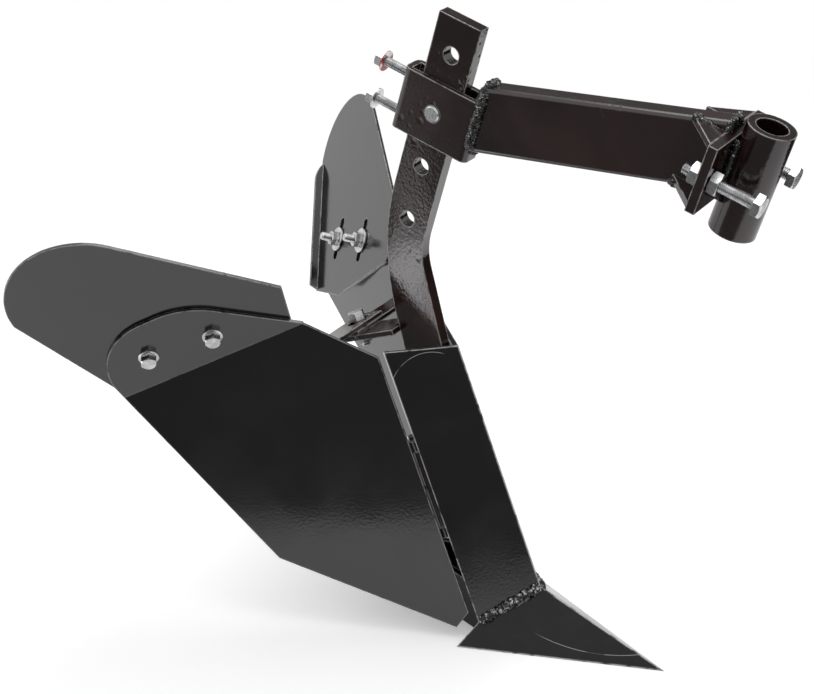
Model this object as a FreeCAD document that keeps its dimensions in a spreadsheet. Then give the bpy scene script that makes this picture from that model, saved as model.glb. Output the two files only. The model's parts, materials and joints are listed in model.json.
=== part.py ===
"""Ridging plough for a walking tractor: a pinned shank in a sleeve, a V-shaped breast and share, and two
hinged mouldboard wings with sliding extension plates.  Millimetres, +X forward, +Y to the plough's left, +Z up.

Three working frames carry the pieces.  The rake frame has its origin on the depth pin and leans with the
shank.  The ridge frame stands at the foot of the breast's ridge and leans with the ridge.  The wing frames
stand on the outer face of the right wing's plate and of its turned-out flange.  Left-hand pieces are mirrors
of the right-hand ones.
"""
import math
import os
import re

import FreeCAD
import Part
import Sketcher

Vector = FreeCAD.Vector
Rotation = FreeCAD.Rotation
Placement = FreeCAD.Placement

# Driving dimensions: alias, value, meaning.  Lengths in millimetres, angles in degrees.
SIZES = [
    ("rake_angle", 15.5, "forward lean of the upper shank, sleeve and pivot tube"),
    ("ridge_lean", 22.4, "backward lean of the breast's ridge"),
    ("shank_lean", 15.5, "backward lean of the lower shank"),
    ("ridge_foot_height", 42.3, "height of the ridge where the share meets it"),
    ("pin_behind_ridge", 111.0, "depth pin behind the ridge's foot"),
    ("pin_height", 469.4, "depth pin above the ground"),
    ("shank_width", 40.0, "shank bar, fore and aft"),
    ("shank_thickness", 12.0, "shank bar, across"),
    ("shank_above_pin", 83.0, "shank's top above the depth pin"),
    ("shank_front_bend", 60.0, "inside of the shank's bend, at its front"),
    ("shank_rear_bend", 230.0, "outside of the shank's bend, at its rear"),
    ("shank_foot_height", 26.0, "shank's lower end above the ground"),
    ("shank_hole_pitch", 52.0, "spacing of the depth holes"),
    ("pin_diameter", 14.0, "depth pin"),
    ("pin_fit", 0.2, "radial clearance of the pin in its holes"),
    ("pin_stand_out", 2.0, "pin beyond the sleeve on each side"),
    ("sleeve_front", 39.5, "sleeve's front face ahead of the pin"),
    ("sleeve_rear", 35.3, "sleeve's rear face behind the pin"),
    ("sleeve_height", 55.0, "sleeve along the shank"),
    ("sleeve_wall", 5.0, "sleeve's wall"),
    ("sleeve_side_gap", 0.5, "play beside the shank in the sleeve"),
    ("sleeve_corner", 6.0, "outer corner radius of the sleeve"),
    ("clamp_bolt_spread", 35.0, "distance between the two clamp bolts"),
    ("clamp_bolt_length", 38.0, "clamp bolt under its head"),
    ("bolt_diameter", 8.0, "clamp, wing and spread bolts"),
    ("bolt_head_flats", 13.0, "hexagon across flats"),
    ("bolt_head_height", 8.3, "bolt's head, above its seat"),
    ("beam_height", 56.0, "beam tube"),
    ("beam_width", 22.0, "beam tube"),
    ("beam_wall", 3.0, "beam tube"),
    ("beam_corner", 4.0, "outer corner radius of the beam tube"),
    ("beam_pitch", 3.7, "rise of the beam towards the hitch"),
    ("beam_offset", 0.5, "beam's middle below the pin, at the pin"),
    ("hitch_reach", 244.0, "front face of the hitch plate ahead of the pin"),
    ("hitch_plate_width", 90.0, "cross plate"),
    ("hitch_plate_height", 56.0, "cross plate"),
    ("hitch_plate_thickness", 8.0, "cross plate"),
    ("hitch_plate_rise", 75.0, "middle of the cross plate above the pin, along the rake"),
    ("gusset_run", 28.0, "gusset along the beam"),
    ("gusset_reach", 30.0, "gusset out along the cross plate"),
    ("gusset_thickness", 5.0, "gusset plate"),
    ("tube_diameter", 38.0, "pivot tube outside"),
    ("tube_bore", 25.0, "pivot tube bore"),
    ("tube_length", 90.0, "pivot tube"),
    ("tube_rise", 72.0, "middle of the pivot tube above the pin, along the rake"),
    ("adjuster_spread", 66.0, "distance between the two levelling bolts"),
    ("adjuster_rise", 72.0, "levelling bolts above the pin, along the rake"),
    ("adjuster_diameter", 10.0, "levelling bolt"),
    ("adjuster_stand_out", 37.0, "levelling bolt ahead of the cross plate, up to its head"),
    ("adjuster_length", 60.0, "levelling bolt under its head"),
    ("adjuster_flats", 17.0, "levelling bolt's head and nuts across flats"),
    ("adjuster_head_height", 6.5, "levelling bolt's head"),
    ("adjuster_nut_height", 8.0, "levelling bolt's nuts"),
    ("screw_fit", 0.15, "radial clearance of a screw in its nut or tapped hole"),
    ("breast_half_angle", 45.8, "each breast plate from the plane of symmetry, across the ridge"),
    ("breast_width", 63.3, "breast plate from the ridge to its rear edge"),
    ("breast_height", 234.8, "breast plate along the ridge"),
    ("breast_top_rise", 17.9, "rise of the breast's top edge towards the rear"),
    ("breast_thickness", 5.0, "breast plate"),
    ("weld_gap", 0.2, "play left at a welded seat"),
    ("plate_gap", 0.3, "clearance between plates that slide on each other"),
    ("share_point", 124.9, "share's point ahead of the ridge's foot"),
    ("share_rear", 46.1, "share's rear corners behind the ridge's foot"),
    ("share_half_width", 68.6, "share's rear corners from the middle"),
    ("share_thickness", 6.0, "share plate"),
    ("heel_front", 40.0, "heel strap's front ends behind the ridge's foot"),
    ("heel_half_width", 38.0, "heel strap outside, at its front ends"),
    ("heel_rear", 142.0, "heel strap's nose behind the ridge's foot"),
    ("heel_nose_radius", 9.0, "outside of the heel strap's nose"),
    ("heel_height", 46.0, "heel strap"),
    ("heel_thickness", 6.0, "heel strap"),
    ("hinge_gap", 4.0, "breast's rear edge to the wing's reference line"),
    ("hinge_barrel_diameter", 13.0, "hinge barrel and knuckles"),
    ("hinge_rod_diameter", 8.0, "hinge rod"),
    ("hinge_fit", 0.08, "radial clearance of the rod in the barrel"),
    ("hinge_end_gap", 0.5, "barrel to knuckle, along the axis"),
    ("hinge_low", 84.0, "barrel's lower end above the wing's foot"),
    ("hinge_high", 157.0, "barrel's upper end above the wing's foot"),
    ("hinge_knuckle_length", 10.0, "each knuckle on the breast"),
    ("wing_swing", 10.0, "swing of each wing either way on its hinge"),
    ("wing_angle", 26.3, "wing plate from the plane of symmetry, across the ridge"),
    ("wing_thickness", 3.0, "wing plate"),
    ("wing_front_edge", 2.0, "wing's front edge behind its reference line"),
    ("wing_front_height", 250.0, "top of the wing's front edge"),
    ("wing_foot", 2.0, "bottom of the wing's front edge"),
    ("wing_cut_run", 16.6, "cut corner at the wing's foot, rearwards"),
    ("wing_cut_drop", 9.0, "cut corner at the wing's foot, below the reference"),
    ("wing_tail_run", 150.0, "rear end of the wing's bottom edge, rearwards"),
    ("wing_tail_height", 97.0, "rear end of the wing's bottom edge, height"),
    ("fold_front_run", 54.5, "front end of the fold, rearwards"),
    ("fold_front_height", 297.6, "front end of the fold, height"),
    ("fold_rear_run", 232.3, "rear end of the fold, rearwards"),
    ("fold_rear_height", 278.6, "rear end of the fold, height"),
    ("wing_fold", 33.0, "outward lean of the flange from the wing plate"),
    ("flange_height", 71.0, "flange above the fold"),
    ("flange_crown_run", 102.0, "front end of the flange's crown from its rear end"),
    ("flange_rear_radius", 60.0, "rounding of the flange's rear top corner"),
    ("flange_crown_radius", 70.0, "rounding at the front end of the flange's crown"),
    ("wing_bolt_rear_run", 45.5, "rear wing bolt ahead of the fold's rear end"),
    ("wing_bolt_rear_height", 33.3, "rear wing bolt above the fold"),
    ("wing_bolt_front_run", 105.2, "front wing bolt ahead of the fold's rear end"),
    ("wing_bolt_front_height", 27.0, "front wing bolt above the fold"),
    ("wing_bolt_length", 25.0, "wing bolt under its head"),
    ("bolt_fit", 0.5, "radial clearance of a bolt in a hole or slot"),
    ("washer_diameter", 24.0, "large washer under a wing bolt's nut"),
    ("washer_thickness", 2.0, "large washer"),
    ("nut_height", 6.8, "nut of an 8 mm bolt"),
    ("extension_thickness", 3.0, "extension plate"),
    ("extension_round_radius", 66.0, "round rear end of the extension"),
    ("extension_round_run", 34.0, "centre of the round end ahead of the fold's rear end"),
    ("extension_round_height", 116.0, "centre of the round end above the fold"),
    ("extension_round_end", 174.0, "direction of the round end's lower end"),
    ("extension_front_run", 182.0, "front top corner of the extension"),
    ("extension_front_height", 44.5, "front top corner of the extension"),
    ("extension_chin_run", 169.5, "front bottom corner of the extension"),
    ("extension_chin_height", 2.0, "front bottom corner of the extension"),
    ("extension_base_run", 65.0, "front end of the extension's base"),
    ("extension_base_height", -24.0, "front end of the extension's base"),
    ("crease_top_run", -31.6, "upper end of the tab's crease"),
    ("crease_top_height", 121.3, "upper end of the tab's crease"),
    ("crease_foot_run", 5.9, "lower end of the tab's crease"),
    ("crease_foot_height", -16.5, "lower end of the tab's crease"),
    ("tab_width", 10.5, "tab beyond the crease"),
    ("tab_fold", 86.0, "inward fold of the tab"),
    ("tab_slope", 11.5, "tab's upper corner below the crease's upper end"),
    ("tab_radius", 30.0, "rounding of the tab's upper corner"),
    ("tab_chamfer", 5.0, "rise of the tab's foot towards its free edge"),
    ("slot_length", 33.0, "extension slot, between end centres"),
    ("slot_below_bolt", 16.0, "slot's lower end centre below the bolt"),
    ("slot_lean", 10.0, "forward lean of the slots from square to the fold"),
    ("spread_bolt_behind", 98.3, "spread bolt behind the ridge line"),
    ("bracket_level", 258.0, "underside of the bracket along the ridge from its foot"),
    ("bracket_thickness", 5.0, "slotted bracket behind the shank"),
    ("bracket_width", 34.0, "slotted bracket"),
    ("bracket_overhang", 22.0, "bracket behind the spread bolt"),
    ("arm_thickness", 4.0, "wing arm"),
    ("arm_width", 25.0, "wing arm"),
    ("arm_overrun", 20.0, "wing arm past the middle"),
    ("arm_slot_fit", 1.25, "clearance of the spread bolt in the arm and bracket slots"),
    ("spread_bolt_length", 24.0, "spread bolt under its head"),
]

document = FreeCAD.newDocument("ridging_plough")
sheet = document.addObject("Spreadsheet::Sheet", "dim")
for row, (alias, number, meaning) in enumerate(SIZES, start=1):
    sheet.set(f"A{row}", meaning)
    sheet.set(f"B{row}", str(number))
    sheet.setAlias(f"B{row}", alias)
document.recompute()

sub_parts = []


# ---------------------------------------------------------------- reading and binding sizes

def bound(expression):
    """The expression with each size's name (a word with an underscore) looked up in the sheet."""
    return re.sub(r"\b([a-z]+(?:_[a-z]+)+)\b", r"dim.\1", str(expression))


def value(expression):
    """The number that an expression gives with the sheet's present sizes."""
    result = sheet.evalExpression(re.sub(r"dim\.", "", bound(expression)))
    return float(getattr(result, "Value", result))


def bind(item, **properties):
    """Bind each property of an object to an expression of the sheet's sizes."""
    for name, expression in properties.items():
        item.setExpression(name, bound(expression))


# ---------------------------------------------------------------- working frames

def frame(origin, x_axis, y_axis):
    """Placement with the given origin, X axis and a Y axis near the given one."""
    z_axis = x_axis.cross(y_axis).normalize()
    return Placement(origin, Rotation(x_axis, z_axis.cross(x_axis), z_axis, "XZY"))


def unit(angle, side=0.0):
    """Unit vector across the ridge: angle from straight back, towards the plough's right for side 1."""
    lean = math.radians(value("ridge_lean"))
    turn = math.radians(angle)
    back = Vector(-math.cos(lean), 0, -math.sin(lean))
    return back * math.cos(turn) + Vector(0, -side * math.sin(turn), 0)


rake = Placement(
    Vector(-value("pin_behind_ridge"), 0, value("pin_height")),
    Rotation(Vector(0, 1, 0), value("rake_angle")),
)
ridge_up = Vector(
    -math.sin(math.radians(value("ridge_lean"))), 0, math.cos(math.radians(value("ridge_lean")))
)
ridge_foot = Vector(0, 0, value("ridge_foot_height"))
ridge_back = unit(0)
ridge = frame(ridge_foot, ridge_back, Vector(0, -1, 0))
breast_frame = frame(ridge_foot, unit(value("breast_half_angle"), 1), ridge_up)


def on_breast(along, up):
    """Point of the right breast plate's outer face."""
    return breast_frame.multVec(Vector(along, up, 0))


def breast_seam():
    """Direction in which the breast's and the share's outer faces meet, pointing to the rear right."""
    breast_normal = breast_frame.Rotation.multVec(Vector(0, 0, -1))
    point = Vector(value("share_point"), 0, 0)
    corner = Vector(-value("share_rear"), -value("share_half_width"), 0)
    share_normal = (corner - ridge_foot).cross(point - ridge_foot)
    seam = breast_normal.cross(share_normal).normalize()
    return seam if seam.y < 0 else seam * -1


seam_direction = breast_seam()
seam_in_breast = breast_frame.Rotation.inverted().multVec(seam_direction)
seam_fall = seam_in_breast.y / seam_in_breast.x

wing_direction = unit(value("wing_angle"), 1)
wing_origin = on_breast(value("breast_width + hinge_gap"), 0)
wing_frame = frame(wing_origin, wing_direction, ridge_up)


def fold_frame():
    """Frame on the flange's outer face: X forward along the fold, Y up the flange, Z outwards."""
    rear = Vector(value("fold_rear_run"), value("fold_rear_height"), 0)
    front = Vector(value("fold_front_run"), value("fold_front_height"), 0)
    along = (front - rear).normalize()
    upright = Vector(along.y, -along.x, 0)
    lean = math.radians(value("wing_fold"))
    up = upright * math.cos(lean) + Vector(0, 0, -math.sin(lean))
    return wing_frame * frame(rear, along, up)


flange_frame = fold_frame()


# ---------------------------------------------------------------- sketches and features

def origin_plane(body, role):
    """One of a body's own origin planes."""
    return next(item for item in body.Origin.OriginFeatures if item.Role == role)


def new_body(name, placement=None):
    """An empty body standing in a working frame."""
    body = document.addObject("PartDesign::Body", name)
    body.Placement = placement or Placement()
    return body


def new_sketch(body, name, plane="XY_Plane", level=None):
    """A sketch on one of the body's origin planes, raised to a level where one is given."""
    sketch = body.newObject("Sketcher::SketchObject", name)
    sketch.AttachmentSupport = [(origin_plane(body, plane), "")]
    sketch.MapMode = "FlatFace"
    if level is not None:
        sketch.setExpression("AttachmentOffset.Base.z", bound(level))
    return sketch


def fix(sketch, kind, geometry, expression, place=None):
    """Add one dimension to a sketch and bind it to its expression."""
    where = (geometry,) if place is None else (geometry, place)
    index = sketch.addConstraint(Sketcher.Constraint(kind, *where, value(expression)))
    sketch.setExpression(f"Constraints[{index}]", bound(expression))


def draw_outline(sketch, corners):
    """A closed outline with straight sides through corners given as pairs of expressions."""
    points = [Vector(value(x), value(y), 0) for x, y in corners]
    first = sketch.GeometryCount
    count = len(points)
    for index, point in enumerate(points):
        sketch.addGeometry(Part.LineSegment(point, points[(index + 1) % count]), False)
    for index, (x, y) in enumerate(corners):
        following = first + (index + 1) % count
        sketch.addConstraint(Sketcher.Constraint("Coincident", first + index, 2, following, 1))
        fix(sketch, "DistanceX", first + index, x, 1)
        fix(sketch, "DistanceY", first + index, y, 1)


def draw_circle(sketch, x, y, radius):
    """A circle with its centre and radius given as expressions."""
    circle = Part.Circle(Vector(value(x), value(y), 0), Vector(0, 0, 1), value(radius))
    index = sketch.addGeometry(circle, False)
    fix(sketch, "DistanceX", index, x, 3)
    fix(sketch, "DistanceY", index, y, 3)
    fix(sketch, "Radius", index, radius)


def draw_slot(sketch, start, end, radius):
    """A slot with round ends about two centres given as pairs of expressions."""
    centres = [Vector(value(x), value(y), 0) for x, y in (start, end)]
    along = (centres[1] - centres[0]).normalize()
    heading = math.atan2(along.y, along.x)
    reach = value(radius)
    side = Vector(-along.y, along.x, 0) * reach
    half = math.pi / 2
    normal = Vector(0, 0, 1)
    first = sketch.GeometryCount
    ends = [
        Part.ArcOfCircle(Part.Circle(centres[0], normal, reach), heading + half, heading + 3 * half),
        Part.ArcOfCircle(Part.Circle(centres[1], normal, reach), heading - half, heading + half),
    ]
    sides = [
        Part.LineSegment(centres[0] - side, centres[1] - side),
        Part.LineSegment(centres[1] + side, centres[0] + side),
    ]
    for shape in (ends[0], sides[0], ends[1], sides[1]):
        sketch.addGeometry(shape, False)
    for index in range(4):
        joined = (first + index, 2, first + (index + 1) % 4, 1)
        sketch.addConstraint(Sketcher.Constraint("Tangent", *joined))
    for index, (x, y) in ((first, start), (first + 2, end)):
        fix(sketch, "DistanceX", index, x, 3)
        fix(sketch, "DistanceY", index, y, 3)
    fix(sketch, "Radius", first, radius)


def pad(body, sketch, length, middle=False, back=False):
    """Pad a sketch by a length, to both sides or backwards where asked."""
    feature = body.newObject("PartDesign::Pad", f"{body.Name}_pad")
    feature.Profile = sketch
    feature.Midplane = middle
    feature.Reversed = back
    bind(feature, Length=length)
    document.recompute()
    return feature


def cut_through(body, sketch):
    """Cut a sketch's holes or slots right through, and make sure that they cut."""
    before = body.Shape.Volume
    feature = body.newObject("PartDesign::Pocket", f"{sketch.Name}_cut")
    feature.Profile = sketch
    feature.Type = "ThroughAll"
    feature.Midplane = True
    document.recompute()
    if not body.Shape.Volume < before:
        raise ValueError(f"{feature.Name} cuts nothing")
    return feature


def round_edges(body, places, radius, axis=Vector(0, 0, 1)):
    """Round the edges along an axis that pass through the given points of the body's own frame."""
    base = body.Tip
    names = []
    for x, y in places:
        point = Vector(value(x), value(y), 0)
        for number, edge in enumerate(base.Shape.Edges, start=1):
            first, last = edge.Vertexes[0].Point, edge.Vertexes[-1].Point
            along = last - first
            if along.Length < 1e-6 or along.normalize().cross(axis).Length > 1e-6:
                continue
            if (first - point).cross(axis).Length < 1e-4:
                names.append(f"Edge{number}")
    feature = body.newObject("PartDesign::Fillet", f"{body.Name}_rounding")
    feature.Base = (base, names)
    bind(feature, Radius=radius)
    document.recompute()
    return feature


def finish(item, label):
    """Name a finished sub-part and list it for the export."""
    item.Label = label
    sub_parts.append(item)
    return item


def mirrored(item, name):
    """A shape's mirror image in the plane of symmetry."""
    image = document.addObject("Part::Mirroring", name)
    image.Source = item
    image.Base = Vector(0, 0, 0)
    image.Normal = Vector(0, 1, 0)
    document.recompute()
    return image


def both_sides(item, label):
    """Finish a right-hand sub-part and add its left-hand twin."""
    finish(item, f"right_{label}")
    finish(mirrored(item, f"{label}_twin"), f"left_{label}")


def fused(name, pieces):
    """One solid from touching or overlapping pieces."""
    union = document.addObject("Part::MultiFuse", name)
    union.Shapes = pieces
    union.Refine = True
    document.recompute()
    return union


def cut(name, base, tool):
    """A base less a tool."""
    result = document.addObject("Part::Cut", name)
    result.Base = base
    result.Tool = tool
    document.recompute()
    return result


def common(name, base, tool):
    """What a base and a tool share."""
    result = document.addObject("Part::Common", name)
    result.Base = base
    result.Tool = tool
    document.recompute()
    return result


def box(name, placement, length, width, height, corner):
    """A box in a frame, from its low corner given as expressions."""
    item = document.addObject("Part::Box", name)
    bind(item, Length=length, Width=width, Height=height)
    item.Placement = placement * Placement(Vector(*(value(part) for part in corner)), Rotation())
    document.recompute()
    return item


def rod(name, placement, radius, length):
    """A cylinder along the Z axis of its placement."""
    item = document.addObject("Part::Cylinder", name)
    item.Placement = placement
    bind(item, Radius=radius, Height=length)
    document.recompute()
    return item


def placed(base, x, y, z, rotation=Rotation()):
    """A point of a frame given as expressions, with a turn of its own."""
    return base * Placement(Vector(value(x), value(y), value(z)), rotation)


POINT_FORWARD = Rotation(Vector(0, 1, 0), 90)
POINT_BACK = Rotation(Vector(0, 1, 0), -90)
FACE_IN = Rotation(Vector(1, 0, 0), 180)


def hexagon_block(name, placement, flats, height, bore=None):
    """A hexagonal head or nut along the Z axis of its placement, bored where it is a nut."""
    body = new_body(name, placement)
    sketch = new_sketch(body, f"{name}_hexagon")
    corner = f"({flats}) / sqrt(3)"
    draw_outline(sketch, [(f"{corner} * cos({60 * side})", f"{corner} * sin({60 * side})") for side in range(6)])
    if bore is not None:
        draw_circle(sketch, "0", "0", bore)
    pad(body, sketch, height)
    return body


def hexagon_bolt(name, placement, length):
    """A hexagon bolt: its head's underside at the placement, its shank along +Z, its head behind."""
    shank = rod(f"{name}_shank", placement, "bolt_diameter / 2", length)
    head = hexagon_block(
        f"{name}_head",
        placed(placement, "0", "0", "-bolt_head_height"),
        "bolt_head_flats",
        "bolt_head_height",
    )
    return fused(name, [shank, head])


def washered_nut(name, placement, flats, height, washer, thickness, bore):
    """A washer and the nut on it as one bored piece, the washer's seat at the placement, along +Z."""
    body = new_body(name, placement)
    disc = new_sketch(body, f"{name}_washer")
    draw_circle(disc, "0", "0", washer)
    pad(body, disc, thickness)
    nut = new_sketch(body, f"{name}_hexagon", level=thickness)
    corner = f"({flats}) / sqrt(3)"
    draw_outline(nut, [(f"{corner} * cos({60 * side})", f"{corner} * sin({60 * side})") for side in range(6)])
    pad(body, nut, height)
    hole = new_sketch(body, f"{name}_bore")
    draw_circle(hole, "0", "0", bore)
    cut_through(body, hole)
    return body


# ---------------------------------------------------------------- shank, sleeve and pin

def polar(base, angle, distance):
    """A pair of expressions moved from a base by a distance in a direction."""
    x, y = base
    return (f"{x} + ({distance}) * cos({angle})", f"{y} + ({distance}) * sin({angle})")


# The shank's front edges touch the breast plates at their top: this far behind the ridge line, this high.
SHANK_SEAT = (
    "(breast_thickness / sin(breast_half_angle) + shank_thickness / 2 / tan(breast_half_angle) + weld_gap)"
)
SHANK_TOUCH = (
    "(breast_height + breast_top_rise / breast_width"
    f" * ({SHANK_SEAT} * cos(breast_half_angle) + shank_thickness / 2 * sin(breast_half_angle)))"
)


def build_shank():
    """The bent bar: straight through the sleeve, then down to touch the breast behind its top edge."""
    pin = ("-pin_behind_ridge", "pin_height")
    touch = (
        f"-{SHANK_TOUCH} * sin(ridge_lean) - {SHANK_SEAT} * cos(ridge_lean)",
        f"ridge_foot_height + {SHANK_TOUCH} * cos(ridge_lean) - {SHANK_SEAT} * sin(ridge_lean)",
    )
    lower = polar(touch, "180 + shank_lean", "shank_width / 2")
    drop = (
        f"(({lower[0]} + pin_behind_ridge) * cos(shank_lean) + ({lower[1]} - pin_height) * sin(shank_lean))"
        " / sin(rake_angle + shank_lean)"
    )
    bend = polar(pin, "90 - rake_angle", drop)
    miter = "shank_width / 2 / cos((rake_angle + shank_lean) / 2)"
    foot = (
        f"{lower[0]} + ({lower[1]} - shank_foot_height) * tan(shank_lean)",
        "shank_foot_height",
    )
    half_foot = "shank_width / 2 / cos(shank_lean)"
    top = polar(pin, "90 - rake_angle", "shank_above_pin")
    front_bend = polar(bend, "(shank_lean - rake_angle) / 2", miter)
    rear_bend = polar(bend, "(shank_lean - rake_angle) / 2", f"-({miter})")
    corners = [
        polar(top, "-rake_angle", "shank_width / 2"),
        front_bend,
        (f"{foot[0]} + {half_foot}", foot[1]),
        (f"{foot[0]} - {half_foot}", foot[1]),
        rear_bend,
        polar(top, "-rake_angle", "-shank_width / 2"),
    ]
    body = new_body("shank_bar")
    outline = new_sketch(body, "shank_outline", "XZ_Plane")
    draw_outline(outline, corners)
    pad(body, outline, "shank_thickness", middle=True)
    across = Vector(0, 1, 0)
    round_bend(body, front_bend, "shank_front_bend", across)
    round_bend(body, rear_bend, "shank_rear_bend", across)
    holes = new_sketch(body, "depth_holes", "XZ_Plane")
    for step in (1, 0, -1, -2):
        x, y = polar(pin, "90 - rake_angle", f"{step} * shank_hole_pitch")
        draw_circle(holes, x, y, "pin_diameter / 2 + pin_fit")
    cut_through(body, holes)
    finish(body, "shank")


def round_bend(body, corner, radius, across):
    """Round the edge across the bar at one corner of its side outline."""
    base = body.Tip
    point = Vector(value(corner[0]), 0, value(corner[1]))
    name = next(
        f"Edge{number}"
        for number, edge in enumerate(base.Shape.Edges, start=1)
        if len(edge.Vertexes) == 2
        and (edge.Vertexes[1].Point - edge.Vertexes[0].Point).normalize().cross(across).Length < 1e-6
        and (edge.Vertexes[0].Point - point).cross(across).Length < 1e-3
    )
    feature = body.newObject("PartDesign::Fillet", f"bend_{name}")
    feature.Base = (base, [name])
    bind(feature, Radius=radius)
    document.recompute()


def build_sleeve():
    """The short rectangular tube round the shank, with cross holes for the pin and taps for the bolts."""
    inner_side = "shank_thickness / 2 + sleeve_side_gap"
    outer_side = f"{inner_side} + sleeve_wall"
    body = new_body("sleeve_tube", rake)
    profile = new_sketch(body, "sleeve_profile")
    rear, front = "-sleeve_rear", "sleeve_front"
    outer = [(rear, f"-({outer_side})"), (front, f"-({outer_side})"), (front, outer_side), (rear, outer_side)]
    draw_outline(profile, outer)
    pad(body, profile, "sleeve_height", middle=True)
    round_edges(body, outer, "sleeve_corner")
    opening = new_sketch(body, "sleeve_opening")
    inner_rear, inner_front = "-sleeve_rear + sleeve_wall", "sleeve_front - sleeve_wall"
    draw_outline(opening, [
        (inner_rear, f"-({inner_side})"),
        (inner_front, f"-({inner_side})"),
        (inner_front, inner_side),
        (inner_rear, inner_side),
    ])
    cut_through(body, opening)
    cross_hole = new_sketch(body, "sleeve_pin_hole", "XZ_Plane")
    draw_circle(cross_hole, "0", "0", "pin_diameter / 2 + pin_fit")
    cut_through(body, cross_hole)
    taps = document.addObject("Part::MultiFuse", "sleeve_taps")
    taps.Shapes = [
        rod(
            f"sleeve_tap_{step}",
            placed(rake, "-sleeve_rear - 1", "0", f"{side} * clamp_bolt_spread / 2", POINT_FORWARD),
            "bolt_diameter / 2 + screw_fit",
            "sleeve_wall + 2",
        )
        for step, side in (("low", -1), ("high", 1))
    ]
    finish(cut("sleeve", body, taps), "clamp_sleeve")
    pin_length = f"2 * ({outer_side} + pin_stand_out)"
    pin_start = placed(rake, "0", f"({pin_length}) / 2", "0", Rotation(Vector(1, 0, 0), 90))
    finish(rod("depth_pin_rod", pin_start, "pin_diameter / 2", pin_length), "depth_pin")
    for level, side in (("lower", -1), ("upper", 1)):
        seat = placed(
            rake,
            "-shank_width / 2 - weld_gap - clamp_bolt_length",
            "0",
            f"{side} * clamp_bolt_spread / 2",
            POINT_FORWARD,
        )
        finish(hexagon_bolt(f"clamp_bolt_{level}", seat, "clamp_bolt_length"), f"{level}_clamp_bolt")


# ---------------------------------------------------------------- beam and hitch

def build_beam():
    """The rectangular tube from the sleeve to the cross plate, cut at both ends to the rake."""
    base = placed(
        Placement(),
        "-pin_behind_ridge",
        "0",
        "pin_height - beam_offset",
        Rotation(Vector(0, 1, 0), -value("beam_pitch")),
    )
    body = new_body("beam_tube", base)
    profile = new_sketch(body, "beam_profile", "YZ_Plane")
    side, rise = "beam_width / 2", "beam_height / 2"
    outer = [(f"-{side}", f"-{rise}"), (side, f"-{rise}"), (side, rise), (f"-{side}", rise)]
    draw_outline(profile, outer)
    pad(body, profile, "hitch_reach * 1.2")
    round_long_edges(body, "beam_corner")
    opening = new_sketch(body, "beam_bore", "YZ_Plane")
    inner_side, inner_rise = "(beam_width / 2 - beam_wall)", "(beam_height / 2 - beam_wall)"
    draw_outline(opening, [
        (f"-{inner_side}", f"-{inner_rise}"),
        (inner_side, f"-{inner_rise}"),
        (inner_side, inner_rise),
        (f"-{inner_side}", inner_rise),
    ])
    cut_through(body, opening)
    span = box(
        "beam_span",
        rake,
        "hitch_reach - hitch_plate_thickness - sleeve_front - 2 * weld_gap",
        "4 * beam_width",
        "6 * beam_height",
        ("sleeve_front + weld_gap", "-2 * beam_width", "-3 * beam_height"),
    )
    finish(common("beam_cut", body, span), "beam")


def round_long_edges(body, radius):
    """Round the four edges along the body's own X axis."""
    base = body.Tip
    names = [
        f"Edge{number}"
        for number, edge in enumerate(base.Shape.Edges, start=1)
        if abs((edge.Vertexes[1].Point - edge.Vertexes[0].Point).normalize().x) > 0.999
    ]
    feature = body.newObject("PartDesign::Fillet", f"{body.Name}_rounding")
    feature.Base = (base, names)
    bind(feature, Radius=radius)
    document.recompute()


def build_hitch():
    """The cross plate with its levelling bolts, the gussets behind it and the pivot tube before it."""
    half_width, half_height = "hitch_plate_width / 2", "hitch_plate_height / 2"
    seat = placed(rake, "hitch_reach - hitch_plate_thickness", "0", "0")
    body = new_body("hitch_cross_plate", seat)
    outline = new_sketch(body, "hitch_outline", "YZ_Plane")
    low, high = f"hitch_plate_rise - {half_height}", f"hitch_plate_rise + {half_height}"
    draw_outline(outline, [
        (f"-{half_width}", low),
        (half_width, low),
        (half_width, high),
        (f"-{half_width}", high),
    ])
    pad(body, outline, "hitch_plate_thickness")
    taps = new_sketch(body, "hitch_taps", "YZ_Plane")
    for side in (-1, 1):
        draw_circle(taps, f"{side} * adjuster_spread / 2", "adjuster_rise", "adjuster_diameter / 2 + screw_fit")
    cut_through(body, taps)
    finish(body, "hitch_plate")
    for level, edge, inward in (("upper", high, "-gusset_thickness"), ("lower", low, "0")):
        gusset = new_body(f"gusset_{level}", placed(rake, "0", "0", f"{edge} + {inward}"))
        triangle = new_sketch(gusset, f"gusset_{level}_outline")
        root = "hitch_reach - hitch_plate_thickness - weld_gap"
        flank = "-beam_width / 2 - weld_gap"
        draw_outline(triangle, [
            (root, flank),
            (root, f"{flank} - gusset_reach"),
            (f"{root} - gusset_run", flank),
        ])
        pad(gusset, triangle, "gusset_thickness")
        both_sides(gusset, f"{level}_gusset")
    tube_start = placed(
        rake, "hitch_reach + weld_gap + tube_diameter / 2", "0", "tube_rise - tube_length / 2"
    )
    tube = new_body("pivot_tube_body", tube_start)
    ring = new_sketch(tube, "pivot_ring")
    draw_circle(ring, "0", "0", "tube_diameter / 2")
    draw_circle(ring, "0", "0", "tube_bore / 2")
    pad(tube, ring, "tube_length")
    finish(tube, "pivot_tube")
    build_adjusters()


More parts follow.
